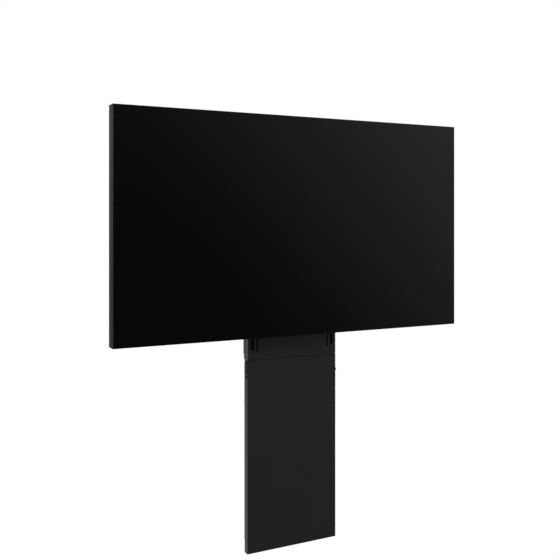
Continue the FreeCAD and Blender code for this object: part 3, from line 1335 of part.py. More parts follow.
def main():
    """Builds every node and writes one file for each."""
    os.makedirs("parts", exist_ok=True)
    nodes = {}
    for group in (make_column(), make_drives(), make_carriage(), make_display()):
        nodes.update(group)
    for name, shape in nodes.items():
        shape.exportStep(f"parts/{name}.step")
    print(len(nodes), "nodes")


main()
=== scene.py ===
"""Dresses the motorized wall lift and its large display, and sets up the studio shot."""

import json
import logging
import math
from dataclasses import dataclass, field
from enum import Enum
from typing import Any, ClassVar, Iterable, Protocol, Sequence

import bmesh
import bpy
from mathutils import Matrix, Vector


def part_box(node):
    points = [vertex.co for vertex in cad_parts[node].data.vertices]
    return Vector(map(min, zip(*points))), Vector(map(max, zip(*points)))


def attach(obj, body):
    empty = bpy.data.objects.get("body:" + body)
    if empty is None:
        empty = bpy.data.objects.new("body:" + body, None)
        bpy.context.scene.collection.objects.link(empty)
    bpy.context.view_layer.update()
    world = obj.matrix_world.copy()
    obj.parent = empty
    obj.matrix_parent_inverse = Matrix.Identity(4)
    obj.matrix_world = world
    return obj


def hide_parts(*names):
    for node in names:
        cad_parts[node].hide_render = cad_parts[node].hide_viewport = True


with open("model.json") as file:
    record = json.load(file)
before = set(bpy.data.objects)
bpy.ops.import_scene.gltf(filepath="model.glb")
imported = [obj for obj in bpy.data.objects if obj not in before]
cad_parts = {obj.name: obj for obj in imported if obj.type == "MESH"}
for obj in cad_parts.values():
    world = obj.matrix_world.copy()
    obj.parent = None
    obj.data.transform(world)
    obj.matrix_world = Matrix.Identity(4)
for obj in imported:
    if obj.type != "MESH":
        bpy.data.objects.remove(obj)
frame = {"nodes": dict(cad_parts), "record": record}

LOG = logging.getLogger("wall_lift")
Colour = tuple[float, float, float, float]
Pair = tuple[float, float]
Place = tuple[float, float, float]
Profile = Sequence[Pair]

FULL_TURN = 2 * math.pi
MERGE_DISTANCE = 1e-6
SHARP_ANGLE = math.radians(32)
PARALLEL = 0.999
DRIVES = (-0.08, 0.08)


class Body(Enum):
    """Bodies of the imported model."""

    ROOT = "root"
    CARRIAGE = "carriage"
    DISPLAY = "display"
    LEFT_SPINDLE = "left_spindle"
    RIGHT_SPINDLE = "right_spindle"


class Slot(Enum):
    """Material slots of the record."""

    COLUMN = "column_black"
    INNER_STEEL = "inner_steel"
    ZINC = "zinc_steel"
    RAIL = "rail_steel"
    TUBE = "tube_steel"
    MOTOR = "motor_black"
    GLAND = "gland_plastic"
    BRONZE = "bronze"
    RUBBER = "rubber_black"
    CASE = "case_plastic"
    COOLER = "cooler"
    EDGE = "edge_black"
    GLASS = "glass_black"
    PANEL = "panel_dark"
    TRAY = "tray_metal"
    COVER = "cover_plastic"
    BOARD = "board"
    SOCKET = "socket_plastic"
    CARRIER = "carrier_black"


class Way(Enum):
    """Directions in the part's frame."""

    LEFT = (-1.0, 0.0, 0.0)
    RIGHT = (1.0, 0.0, 0.0)
    FRONT = (0.0, -1.0, 0.0)
    BACK = (0.0, 1.0, 0.0)

    @property
    def vector(self) -> Vector:
        """The direction as a vector."""
        return Vector(self.value)

    @property
    def turn(self) -> Matrix:
        """Rotation that takes +Z to this direction."""
        return Vector((0, 0, 1)).rotation_difference(self.vector).to_matrix().to_4x4()


# Nodes that take the finish of a neighbour they are sprayed with. For the cover's brackets the column's
# black is also painted shade, darkening them where they sit in the cover's notches.
SPRAYED_AND_SHADE_FINISHES: dict[str, Slot] = {"cover_brackets": Slot.COLUMN}


def grey(level: float) -> Colour:
    """Opaque neutral colour of one linear level."""
    return (level, level, level, 1.0)


def shaded(colour: Colour, factor: float) -> Colour:
    """A colour made lighter or darker by a factor."""
    return (colour[0] * factor, colour[1] * factor, colour[2] * factor, colour[3])


class Signal:
    """A shader socket that takes Python's arithmetic."""

    def __init__(self, graph: "Graph", socket: bpy.types.NodeSocket) -> None:
        """Wraps an output socket of a graph."""
        self.graph = graph
        self.socket = socket

    def _maths(self, operation: str, first: Any, second: Any = 0.0) -> "Signal":
        """Adds one Math node on signals or numbers."""
        return self.graph.signal("ShaderNodeMath", {0: first, 1: second}, operation=operation)

    def __add__(self, other: Any) -> "Signal":
        """Sum."""
        return self._maths("ADD", self, other)

    __radd__ = __add__

    def __sub__(self, other: Any) -> "Signal":
        """Difference."""
        return self._maths("SUBTRACT", self, other)

    def __rsub__(self, other: Any) -> "Signal":
        """Difference from a number."""
        return self._maths("SUBTRACT", other, self)

    def __mul__(self, other: Any) -> "Signal":
        """Product."""
        return self._maths("MULTIPLY", self, other)

    __rmul__ = __mul__

    def above(self, level: float) -> "Signal":
        """One where the signal is over a level, else nought."""
        return self._maths("GREATER_THAN", self, level)

    def arcsine(self) -> "Signal":
        """Angle in radians whose sine is the signal."""
        return self._maths("ARCSINE", self)

    def bearing(self, forward: "Signal") -> "Signal":
        """Angle in radians of this offset sideways against an offset forwards."""
        return self._maths("ARCTAN2", self, forward)

    def swing(self, size: float) -> "Signal":
        """A signal between nought and one, centred on nought and scaled to a size."""
        return (self - 0.5) * size

    def clipped(self) -> "Signal":
        """The signal held between nought and one."""
        return self.graph.signal("ShaderNodeClamp", {0: self})

    def eased(self, low: float, high: float) -> "Signal":
        """Smooth step from nought at low to one at high."""
        return self.graph.signal("ShaderNodeMapRange", {"Value": self, "From Min": low, "From Max": high},
                                 interpolation_type="SMOOTHSTEP")

    def axes(self) -> tuple["Signal", ...]:
        """The three numbers of a vector."""
        parts = self.graph.node("ShaderNodeSeparateXYZ", {"Vector": self})
        return tuple(Signal(self.graph, socket) for socket in parts.outputs)


class Graph:
    """Node tree of one material or world."""

    def __init__(self, owner: bpy.types.ID) -> None:
        """Empties the owner's node tree.

        Args:
            owner: Material or world that the nodes belong to.
        """
        owner.use_nodes = True
        self.tree = owner.node_tree
        self.tree.nodes.clear()

    def node(self, kind: str, inputs: dict[Any, Any] | None = None, **settings: Any) -> bpy.types.Node:
        """Adds one node.

        Args:
            kind: Type name of the node.
            inputs: Values, signals or sockets by the input's name or number.
            **settings: Properties to set first.

        Returns:
            The node.
        """
        node = self.tree.nodes.new(kind)
        for name, value in settings.items():
            setattr(node, name, value)
        for key, value in (inputs or {}).items():
            if isinstance(value, Signal):
                self.tree.links.new(value.socket, node.inputs[key])
            else:
                node.inputs[key].default_value = value
        return node

    def signal(self, kind: str, inputs: dict[Any, Any] | None = None, output: Any = 0,
               **settings: Any) -> Signal:
        """Adds one node and returns the output of a name or number."""
        return Signal(self, self.node(kind, inputs, **settings).outputs[output])

    def place(self, stretch: Place = (1.0, 1.0, 1.0)) -> Signal:
        """Object coordinates in metres, stretched along the axes."""
        coordinates = self.signal("ShaderNodeTexCoord", output="Object")
        return self.signal("ShaderNodeMapping", {"Vector": coordinates, "Scale": stretch})

    def noise(self, place: Signal, scale: float, detail: float = 2.0, roughness: float = 0.5) -> Signal:
        """Soft noise between nought and one, of so many cells per metre and octaves."""
        return self.signal("ShaderNodeTexNoise",
                           {"Vector": place, "Scale": scale, "Detail": detail, "Roughness": roughness})

    def cells(self, place: Signal, scale: float, feature: str = "F1", output: str = "Distance") -> Signal:
        """Voronoi pattern of so many cells per metre."""
        return self.signal("ShaderNodeTexVoronoi", {"Vector": place, "Scale": scale}, output,
                           feature=feature)

    def blend(self, factor: Any, first: Any, second: Any) -> Signal:
        """Mix of two colours, where the factor is the share of the second."""
        return self.signal("ShaderNodeMix", {0: factor, 6: first, 7: second}, 2, data_type="RGBA")

    def toned(self, factor: Signal, colour: Colour, spread: float) -> Signal:
        """A colour that goes from darker to lighter with a signal, by a share to each side."""
        return self.blend(factor, shaded(colour, 1 - spread), shaded(colour, 1 + spread))

    def bump(self, height: Signal, distance: float, strength: float = 0.4) -> Signal:
        """Normal of a fine relief that is a distance deep in metres."""
        return self.signal("ShaderNodeBump", {"Height": height, "Distance": distance, "Strength": strength})

    def ray(self, kind: str) -> Signal:
        """One for rays of a kind, else nought."""
        return self.signal("ShaderNodeLightPath", output=kind)

    def mirrored(self) -> Signal:
        """One for rays that come from a glossy or a clear surface, else nought."""
        return self.ray("Is Glossy Ray") + self.ray("Is Transmission Ray")

    def close(self, inputs: dict[str, Any]) -> None:
        """Ends a material in one Principled shader with these sockets."""
        shader = self.signal("ShaderNodeBsdfPrincipled", inputs)
        self.node("ShaderNodeOutputMaterial", {"Surface": shader})


class Finish(Protocol):
    """Anything that can draw a material's nodes."""

    def draw(self, graph: Graph) -> None:
        """Draws the finish in an empty node tree."""


@dataclass(frozen=True)
class PowderCoat:
    """Fine textured powder coat on folded sheet."""

    level: float
    roughness: float = 0.5
    grain: float = 1300.0
    peel: float = 0.00006
    gloss: float = 0.5
    spread: float = 0.14

    def draw(self, graph: Graph) -> None:
        """Draws fine grain, slow cloudiness and small changes of gloss.

        Args:
            graph: Empty node tree.
        """
        place = graph.place()
        grain = graph.noise(place, self.grain, 3.0, 0.6)
        flow = graph.noise(place, self.grain * 0.22, 1.0)
        cloud = graph.noise(place, 4.0, 3.0)
        graph.close({
            "Base Color": graph.toned(grain * 0.35 + cloud * 0.65, grey(self.level), self.spread),
            "Roughness": self.roughness + cloud.swing(0.08) + grain.swing(0.1),
            "Specular IOR Level": self.gloss,
            "Normal": graph.bump(grain * 0.6 + flow * 0.4, self.peel),
        })


@dataclass(frozen=True)
class StrokedMetal:
    """Brushed, ground, drawn or turned metal, with its strokes along one direction."""

    colour: Colour
    roughness: float = 0.3
    stretch: Place = (3.0, 900.0, 900.0)
    metallic: float = 1.0
    depth: float = 0.00002
    contrast: float = 0.1
    gloss: float = 0.5

    def draw(self, graph: Graph) -> None:
        """Draws long strokes in colour, gloss and relief, and a slow tarnish.

        Args:
            graph: Empty node tree.
        """
        strokes = graph.noise(graph.place(self.stretch), 1.0, 3.0, 0.65)
        cloud = graph.noise(graph.place(), 9.0, 2.0)
        graph.close({
            "Base Color": graph.toned(strokes * 0.7 + cloud * 0.3, self.colour, self.contrast),
            "Metallic": self.metallic,
            "Roughness": self.roughness + strokes.swing(0.16) + cloud.swing(0.06),
            "Specular IOR Level": self.gloss,
            "Normal": graph.bump(strokes, self.depth),
        })


@dataclass(frozen=True)
class ZincPlate:
    """Bright zinc plating with faint spangle and a cool passivation."""

    colour: Colour = (0.58, 0.60, 0.62, 1.0)
    tint: Colour = (0.50, 0.53, 0.58, 1.0)
    roughness: float = 0.26
    spangle: float = 420.0
    depth: float = 0.00002

    def draw(self, graph: Graph) -> None:
        """Draws cells of slightly different gloss under a cloudy tint.

        Args:
            graph: Empty node tree.
        """
        place = graph.place()
        cells = graph.cells(place, self.spangle, output="Color")
        cloud = graph.noise(place, 35.0, 2.0)
        graph.close({
            "Base Color": graph.blend(cloud, self.colour, self.tint),
            "Metallic": 1.0,
            "Roughness": self.roughness + cells * 0.1 + cloud.swing(0.1),
            "Normal": graph.bump(graph.noise(place, 900.0), self.depth),
        })


@dataclass(frozen=True)
class MouldedPlastic:
    """Injection moulded plastic with a spark textured surface."""

    level: float
    roughness: float = 0.5
    texture: float = 1600.0
    depth: float = 0.00005
    spread: float = 0.12

    def draw(self, graph: Graph) -> None:
        """Draws fine pits, flow clouds and rubbed spots.

        Args:
            graph: Empty node tree.
        """
        place = graph.place()
        pits = graph.cells(place, self.texture)
        fine = graph.noise(place, self.texture * 1.7)
        cloud = graph.noise(place, 7.0, 3.0)
        graph.close({
            "Base Color": graph.toned(cloud, grey(self.level), self.spread),
            "Roughness": self.roughness + pits.swing(0.1) + cloud.swing(0.08),
            "Normal": graph.bump(pits * 0.6 + fine * 0.4, self.depth),
        })


@dataclass(frozen=True)
class AntiGlareGlass:
    """Black backed front glass with a matt coating that holds reflections down."""

    level: float = 0.0012
    roughness: float = 0.17
    reflection: float = 0.5
    spread: float = 0.2
    etching: float = 0.000004
    wiping: Place = (2.0, 2.0, 14.0)

    def draw(self, graph: Graph) -> None:
        """Draws a nearly black ground, a faint haze and wiping marks in the gloss.

        Args:
            graph: Empty node tree.
        """
        place = graph.place()
        haze = graph.noise(place, 1.6, 2.0)
        wipes = graph.noise(graph.place(self.wiping), 1.0, 2.0)
        graph.close({
            "Base Color": graph.toned(haze, grey(self.level), self.spread),
            "Roughness": self.roughness + haze.swing(0.02) + wipes.swing(0.02),
            "Specular IOR Level": self.reflection,
            "Normal": graph.bump(graph.noise(place, 2600.0), self.etching, 0.2),
        })


@dataclass(frozen=True)
class CircuitBoard:
    """Green board with tracks and parts, and a bright screening can behind it."""

    can_starts_y: float
    track_scale: float = 160.0
    board: Colour = (0.012, 0.07, 0.03, 1.0)
    track: Colour = (0.05, 0.17, 0.07, 1.0)
    can: Colour = (0.55, 0.56, 0.57, 1.0)
    roughness: float = 0.36
    depth: float = 0.00005

    def draw(self, graph: Graph) -> None:
        """Draws tracks in front of a depth, and plain tinned sheet behind it.

        Args:
            graph: Empty node tree.
        """
        place = graph.place()
        is_can = place.axes()[1].above(self.can_starts_y)
        tracks = graph.cells(place, self.track_scale, "DISTANCE_TO_EDGE")
        line = 1 - tracks.eased(0.02, 0.06)
        mask = graph.noise(place, 60.0)
        graph.close({
            "Base Color": graph.blend(is_can, graph.blend(line, self.board, self.track), self.can),
            "Metallic": is_can,
            "Roughness": self.roughness + mask.swing(0.12) + line * 0.06,
            "Normal": graph.bump(line, self.depth),
        })


@dataclass(frozen=True)
class PerforatedSheet:
    """Thin black sheet pressed with rows of small round holes, drawn as dots of painted shade."""

    pitch: float = 0.003
    radius: float = 0.3
    level: float = 0.004
    roughness: float = 0.6
    gloss: float = 0.1
    depth: float = 0.00005

    def draw(self, graph: Graph) -> None:
        """Draws the holes as dots of painted shade on a grid of the pitch.

        Args:
            graph: Empty node tree.
        """
        steps = 1 / self.pitch
        place = graph.place((steps, steps, steps))
        across, _, upward = graph.signal("ShaderNodeVectorMath", {0: place}, operation="FRACTION").axes()
        across, upward = across - 0.5, upward - 0.5
        sheet = (across * across + upward * upward).above(self.radius * self.radius)
        graph.close({
            # The holes are painted shade: a tenth of the sheet's level.
            "Base Color": graph.blend(sheet, grey(self.level * 0.1), grey(self.level)),
            "Roughness": self.roughness + graph.noise(graph.place(), 700.0).swing(0.1),
            "Specular IOR Level": self.gloss,
            "Normal": graph.bump(sheet, self.depth),
        })


@dataclass(frozen=True)
class PaleFloor:
    """Matt pale studio floor that reads white where it is lit and keeps a soft shadow."""

    level: float = 0.45
    lift: float = 0.7
    mirrored: float = 0.45

    def draw(self, graph: Graph) -> None:
        """Draws a pale diffuse sheet, lifted for camera and gloss, and clear from below.

        Args:
            graph: Empty node tree.
        """
        dust = graph.noise(graph.place(), 2.0)
        pale = graph.blend(dust, grey(self.level * 0.99), grey(self.level))
        sheet = graph.signal("ShaderNodeBsdfDiffuse", {"Color": pale})
        glow = graph.signal("ShaderNodeEmission", {"Color": grey(1.0), "Strength": self.lift})
        lifted = graph.signal("ShaderNodeAddShader", {0: sheet, 1: glow})
        seen = (graph.ray("Is Camera Ray") + graph.mirrored() * self.mirrored).clipped()
        top = graph.signal("ShaderNodeMixShader", {0: seen, 1: sheet, 2: lifted})
        clear = graph.signal("ShaderNodeBsdfTransparent")
        under = graph.signal("ShaderNodeNewGeometry", output="Backfacing")
        both = graph.signal("ShaderNodeMixShader", {0: under, 1: top, 2: clear})
        graph.node("ShaderNodeOutputMaterial", {"Surface": both})


def material_of(name: str, finish: Finish) -> bpy.types.Material:
    """Makes a material.

    Args:
        name: Name of the material.
        finish: What draws its nodes.

    Returns:
        The material.
    """
    material = bpy.data.materials.new(name)
    finish.draw(Graph(material))
    return material


class Palette:
    """The finish of every material slot, each made once."""

    board_and_posts: float = 0.009

    def __init__(self) -> None:
        """Names the finish of each slot."""
        can_starts_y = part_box("circuit_boards")[0].y + self.board_and_posts
        self.finishes: dict[Slot, Finish] = {
            Slot.COLUMN: PowderCoat(0.0165, 0.4, gloss=0.55),
            Slot.INNER_STEEL: PowderCoat(0.06, 0.48, 900.0),
            Slot.ZINC: ZincPlate(),
            Slot.RAIL: StrokedMetal((0.56, 0.57, 0.58, 1.0), 0.24, (900.0, 900.0, 4.0)),
            Slot.TUBE: StrokedMetal((0.52, 0.53, 0.55, 1.0), 0.16, (30.0, 30.0, 1400.0)),
            Slot.MOTOR: PowderCoat(0.03, 0.4, 1000.0),
            Slot.GLAND: MouldedPlastic(0.022, 0.42),
            Slot.BRONZE: StrokedMetal((0.62, 0.42, 0.18, 1.0), 0.28, (30.0, 30.0, 1200.0)),
            Slot.RUBBER: MouldedPlastic(0.014, 0.75, 900.0),
            Slot.CASE: MouldedPlastic(0.04, 0.55, 1100.0),
            Slot.COOLER: StrokedMetal((0.16, 0.16, 0.17, 1.0), 0.38, (900.0, 900.0, 5.0), 0.8),
            Slot.EDGE: StrokedMetal((0.012, 0.012, 0.0125, 1.0), 0.5, (500.0, 500.0, 3.0), 0.0, gloss=0.08),
            Slot.GLASS: AntiGlareGlass(),
            Slot.PANEL: MouldedPlastic(0.01, 0.3, 2200.0),
            Slot.TRAY: StrokedMetal((0.5, 0.5, 0.51, 1.0), 0.4, (3.0, 400.0, 400.0)),
            Slot.COVER: MouldedPlastic(0.028, 0.52, 1300.0),
            Slot.BOARD: CircuitBoard(can_starts_y),
            Slot.SOCKET: MouldedPlastic(0.018, 0.45, 1900.0),
            Slot.CARRIER: PowderCoat(0.018, 0.46, 1100.0),
        }
        self.made: dict[str, bpy.types.Material] = {}

    def of_slot(self, slot: Slot) -> bpy.types.Material:
        """The one material of a slot of the record."""
        return self._kept(slot.value, self.finishes[slot])

    def mesh_screen(self) -> bpy.types.Material:
        """Material of the screens behind the vents."""
        return self._kept("vent_screen", PerforatedSheet())

    def _kept(self, name: str, finish: Finish) -> bpy.types.Material:
        """Makes a material at its first use.

        Args:
            name: Name of the material.
            finish: What draws its nodes.

        Returns:
            The one material of that name.
        """
        if name not in self.made:
            self.made[name] = material_of(name, finish)
        return self.made[name]

    def dress_nodes(self) -> None:
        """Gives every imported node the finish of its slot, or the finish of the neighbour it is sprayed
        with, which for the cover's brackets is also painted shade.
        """
        for subpart in frame["record"]["subparts"]:
            name = subpart["node"]
            slot = SPRAYED_AND_SHADE_FINISHES.get(name, Slot(subpart["material_slot"]))
            materials = frame["nodes"][name].data.materials
            materials.clear()
            materials.append(self.of_slot(slot))
            LOG.info("node %s: %s", name, slot.value)


class Shell:
    """One closed form, shaped with mesh operators."""

    def __init__(self) -> None:
        """Starts an empty form."""
        self.mesh = bmesh.new()

    @classmethod
    def block(cls, low: Vector, high: Vector) -> "Shell":
        """Box between two corners.

        Args:
            low: Lowest corner.
            high: Highest corner.

        Returns:
            The box.
        """
        shell = cls()
        made = bmesh.ops.create_cube(shell.mesh, size=1.0)["verts"]
        bmesh.ops.scale(shell.mesh, vec=high - low, verts=made)
        bmesh.ops.translate(shell.mesh, vec=(low + high) / 2, verts=made)
        return shell

    @classmethod
    def bar(cls, half: Pair, front: float, back: float) -> "Shell":
        """Box round the Y axis between two depths, with its half width and half height."""
        return cls.block(Vector((-half[0], front, -half[1])), Vector((half[0], back, half[1])))

    @classmethod
    def turned(cls, profile: Profile, steps: int = 24) -> "Shell":
        """Form turned round +Z.

        Args:
            profile: Radius and height of each point, from one end to the other.
            steps: Sides of the round.

        Returns:
            The turned form.
        """
        shell = cls()
        shell.spun(profile, steps, 0.0, 1, use_merge=True)
        return shell.mended()

    @classmethod
    def prism(cls, outline: Sequence[Place], sweep: Vector) -> "Shell":
        """Outline swept along a vector.

        Args:
            outline: Corners of the outline, all in one plane.
            sweep: Vector out of that plane.

        Returns:
            The swept form.
        """
        shell = cls()
        face = shell.mesh.faces.new([shell.mesh.verts.new(point) for point in outline])
        shell.pulled([face], sweep)
        return shell.mended()

    @classmethod
    def socket_screw(cls, radius: float, height: float, steps: int = 18) -> "Shell":
        """Cap head that stands along +Z, with a hexagonal well.

        Args:
            radius: Radius of the head.
            height: Height of the head.
            steps: Sides of the head.

        Returns:
            The head.
        """
        wall, depth = height * 0.86, height * 0.55
        crown, mouth, well = radius * 0.9, radius * 0.66, radius * 0.52
        profile = [(0, 0), (radius, 0), (radius, wall), (crown, height), (mouth, height)]
        shell = cls.turned(profile, steps)
        rim = [edge for edge in shell.mesh.edges if edge.is_boundary]
        made = bmesh.ops.create_circle(shell.mesh, cap_ends=False, radius=well, segments=6)["verts"]
        bmesh.ops.translate(shell.mesh, vec=(0, 0, height), verts=made)
        ring = list({edge for vert in made for edge in vert.link_edges})
        bmesh.ops.bridge_loops(shell.mesh, edges=rim + ring)
        walls = bmesh.ops.extrude_edge_only(shell.mesh, edges=ring)["geom"]
        floor = [item for item in walls if isinstance(item, bmesh.types.BMVert)]
        bmesh.ops.translate(shell.mesh, vec=(0, 0, -depth), verts=floor)
        bmesh.ops.contextual_create(shell.mesh, geom=floor)
        return shell.mended()

    @classmethod
    def raised_frame(cls, low: Vector, high: Vector, corner: float, width: float) -> "Shell":
        """Rounded rectangular bead that stands from one plane along +Y.

        Args:
            low: Lowest corner; its Y is the plane.
            high: Highest corner; its Y is the bead's crest.
            corner: Radius of the outer corners.
            width: Width of the bead.

        Returns:
            The bead.
        """
        shell = cls()
        corners = [(low.x, low.z), (high.x, low.z), (high.x, high.z), (low.x, high.z)]
        face = shell.mesh.faces.new([shell.mesh.verts.new((x, low.y, z)) for x, z in corners])
        bmesh.ops.bevel(shell.mesh, geom=list(face.verts), offset=corner, segments=6, profile=0.5,
                        affect="VERTICES", material=-1)
        inner = list(shell.mesh.faces)
        ring = bmesh.ops.inset_region(shell.mesh, faces=inner, thickness=width, use_boundary=True,
                                      use_even_offset=True)["faces"]
        bmesh.ops.delete(shell.mesh, geom=[item for item in inner if item.is_valid], context="FACES_ONLY")
        height = high.y - low.y
        crest = shell.pulled(ring, Vector((0, height, 0)))
        edges = {edge for vert in crest for edge in vert.link_edges}
        rims = [edge for edge in edges if all(vert in crest for vert in edge.verts)
                and len({round(face.normal.y) for face in edge.link_faces}) > 1]
        rounding = min(width, height) * 0.4
        bmesh.ops.bevel(shell.mesh, geom=rims, offset=rounding, segments=2, profile=0.5,
                        affect="EDGES", material=-1)
        return shell.mended()

    def spun(self, profile: Profile, steps: int, rise: float, turns: int, use_merge: bool) -> None:
        """Spins a profile round +Z.

        Args:
            profile: Radius and height of each point.
            steps: Steps in one turn.
            rise: Climb in one turn.
            turns: Number of turns.
            use_merge: Whether the last step meets the first.
        """
        points = [self.mesh.verts.new((radius, 0, height)) for radius, height in profile]
        edges = [self.mesh.edges.new(pair) for pair in zip(points, points[1:])]
        bmesh.ops.spin(self.mesh, geom=points + edges, cent=(0, 0, 0), axis=(0, 0, 1),
                       dvec=(0, 0, rise / steps), angle=FULL_TURN * turns, steps=steps * turns,
                       use_merge=use_merge, use_duplicate=False)

    def pulled(self, faces: list[bmesh.types.BMFace], shift: Vector) -> list[bmesh.types.BMVert]:
        """Extrudes faces.

        Args:
            faces: Faces of this form.
            shift: Vector that they move along.

        Returns:
            The corners that moved.
        """
        made = bmesh.ops.extrude_face_region(self.mesh, geom=faces)["geom"]
        moved = [item for item in made if isinstance(item, bmesh.types.BMVert)]
        bmesh.ops.translate(self.mesh, vec=shift, verts=moved)
        return moved

    def mended(self) -> "Shell":
        """Merges doubles and turns all faces outwards.

        Returns:
            The same form.
        """
        bmesh.ops.remove_doubles(self.mesh, verts=self.mesh.verts, dist=MERGE_DISTANCE)
        bmesh.ops.recalc_face_normals(self.mesh, faces=self.mesh.faces)
        if self.mesh.calc_volume(signed=True) < 0:
            bmesh.ops.reverse_faces(self.mesh, faces=self.mesh.faces)
        return self

    def closed(self) -> "Shell":
        """Merges doubles, fills the open ends and turns all faces outwards.

        Returns:
            The same form.
        """
        bmesh.ops.remove_doubles(self.mesh, verts=self.mesh.verts, dist=MERGE_DISTANCE)
        ends = [edge for edge in self.mesh.edges if edge.is_boundary]
        bmesh.ops.holes_fill(self.mesh, edges=ends, sides=0)
        return self.mended()

    def bevelled(self, size: float, segments: int = 2, along: Way | None = None) -> "Shell":
        """Rounds edges.

        Args:
            size: Width of the rounding.
            segments: Steps of the rounding.
            along: Direction of the edges to round, or None for all sharp edges.

        Returns:
            The same form.
        """
        edges = []
        for edge in self.mesh.edges:
            run = (edge.verts[1].co - edge.verts[0].co).normalized()
            if along is None and edge.calc_face_angle(0.0) < SHARP_ANGLE:
                continue
            if along is None or abs(run.dot(along.vector)) > PARALLEL:
                edges.append(edge)
        bmesh.ops.bevel(self.mesh, geom=edges, offset=size, segments=segments, profile=0.5,
                        affect="EDGES", clamp_overlap=True, material=-1)
        return self

    def turned_to(self, way: Way) -> "Shell":
        """Turns a form that stands along +Z to another direction."""
        bmesh.ops.transform(self.mesh, matrix=way.turn, verts=self.mesh.verts)
        return self


def placed(name: str, data: bpy.types.ID) -> bpy.types.Object:
    """Makes an object and puts it in the scene.

    Args:
        name: Name of the object.
        data: Its mesh, camera or light.

    Returns:
        The object.
    """
    made = bpy.data.objects.new(name, data)
    bpy.context.scene.collection.objects.link(made)
    return made


@dataclass
class Piece:
    """One named object that is joined from shells and rides on a body."""

    name: str
    body: Body
    slot: Slot
    material: bpy.types.Material
    mesh: bmesh.types.BMesh = field(default_factory=bmesh.new)

    def add(self, shell: Shell, places: Iterable[Vector] = (Vector(),)) -> "Piece":
        """Joins a copy of a form at each place.

        Args:
            shell: The form, drawn round the frame's origin or in its own place.
            places: Shifts of the copies.

        Returns:
            The same piece.
        """
        for place in places:
            data = bpy.data.meshes.new("copy")
            shell.mesh.to_mesh(data)
            data.transform(Matrix.Translation(place))
            self.mesh.from_mesh(data)
            bpy.data.meshes.remove(data)
        return self

    def done(self, *replaced: str) -> None:
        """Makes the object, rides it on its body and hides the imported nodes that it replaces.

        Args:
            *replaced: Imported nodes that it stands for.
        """
        data = bpy.data.meshes.new(self.name)
        self.mesh.to_mesh(data)
        self.mesh.free()
        data.shade_smooth()
        data.set_sharp_from_angle(angle=SHARP_ANGLE)
        data.materials.append(self.material)
        made = placed(self.name, data)
        weights = made.modifiers.new("flat_faces_first", "WEIGHTED_NORMAL")
        weights.mode = "FACE_AREA"
        weights.keep_sharp = True
        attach(made, self.body.value)
        if replaced:
            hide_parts(*replaced)
        LOG.info("piece %s: %d faces on %s", self.name, len(data.polygons), self.body.value)


@dataclass
class Assembly:
    """What all sub-assemblies share: the palette, their main body and a way to make a piece."""

    palette: Palette
    body: ClassVar[Body] = Body.ROOT

    def piece(self, name: str, slot: Slot, body: Body | None = None) -> Piece:
        """Starts a piece in the material of its slot, on the main body or another one."""
        return Piece(name, body or self.body, slot, self.palette.of_slot(slot))

    def lay(self, name: str, slot: Slot, shell: Shell, places: Iterable[Vector]) -> None:
        """Makes a piece of one form, with a copy at each place."""
        self.piece(name, slot).add(shell, places).done()

    def screws(self, name: str, size: Pair, way: Way, places: Iterable[Vector]) -> None:
        """Lays socket head screws of a radius and a height, which stand out along a direction."""
        self.lay(name, Slot.ZINC, Shell.socket_screw(*size).turned_to(way), places)


def span(first: float, last: float, count: int) -> list[float]:
    """Evenly spaced values, both ends included."""
    return [first + (last - first) * index / (count - 1) for index in range(count)]


def middle(node: str) -> Vector:
    """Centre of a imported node's box."""
    low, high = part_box(node)
    return (low + high) / 2


def beside(centres: Iterable[float], half: float) -> list[float]:
    """The values on both sides of each centre."""
    return [centre + shift for centre in centres for shift in (-half, half)]


def grid(xs: Sequence[float], ys: Sequence[float], zs: Sequence[float]) -> list[Vector]:
    """Every place with these coordinates."""
    return [Vector((x, y, z)) for x in xs for y in ys for z in zs]


def corners(node: str, y: float, inset: Pair) -> list[Vector]:
    """Four places at one depth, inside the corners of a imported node's box.

    Args:
        node: Name of the node.
        y: Depth of the places.
        inset: Distance from the box's sides along X and Z.

    Returns:
        The places.
    """
    low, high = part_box(node)
    side, rise = inset
    return grid((low.x + side, high.x - side), [y], (low.z + rise, high.z - rise))


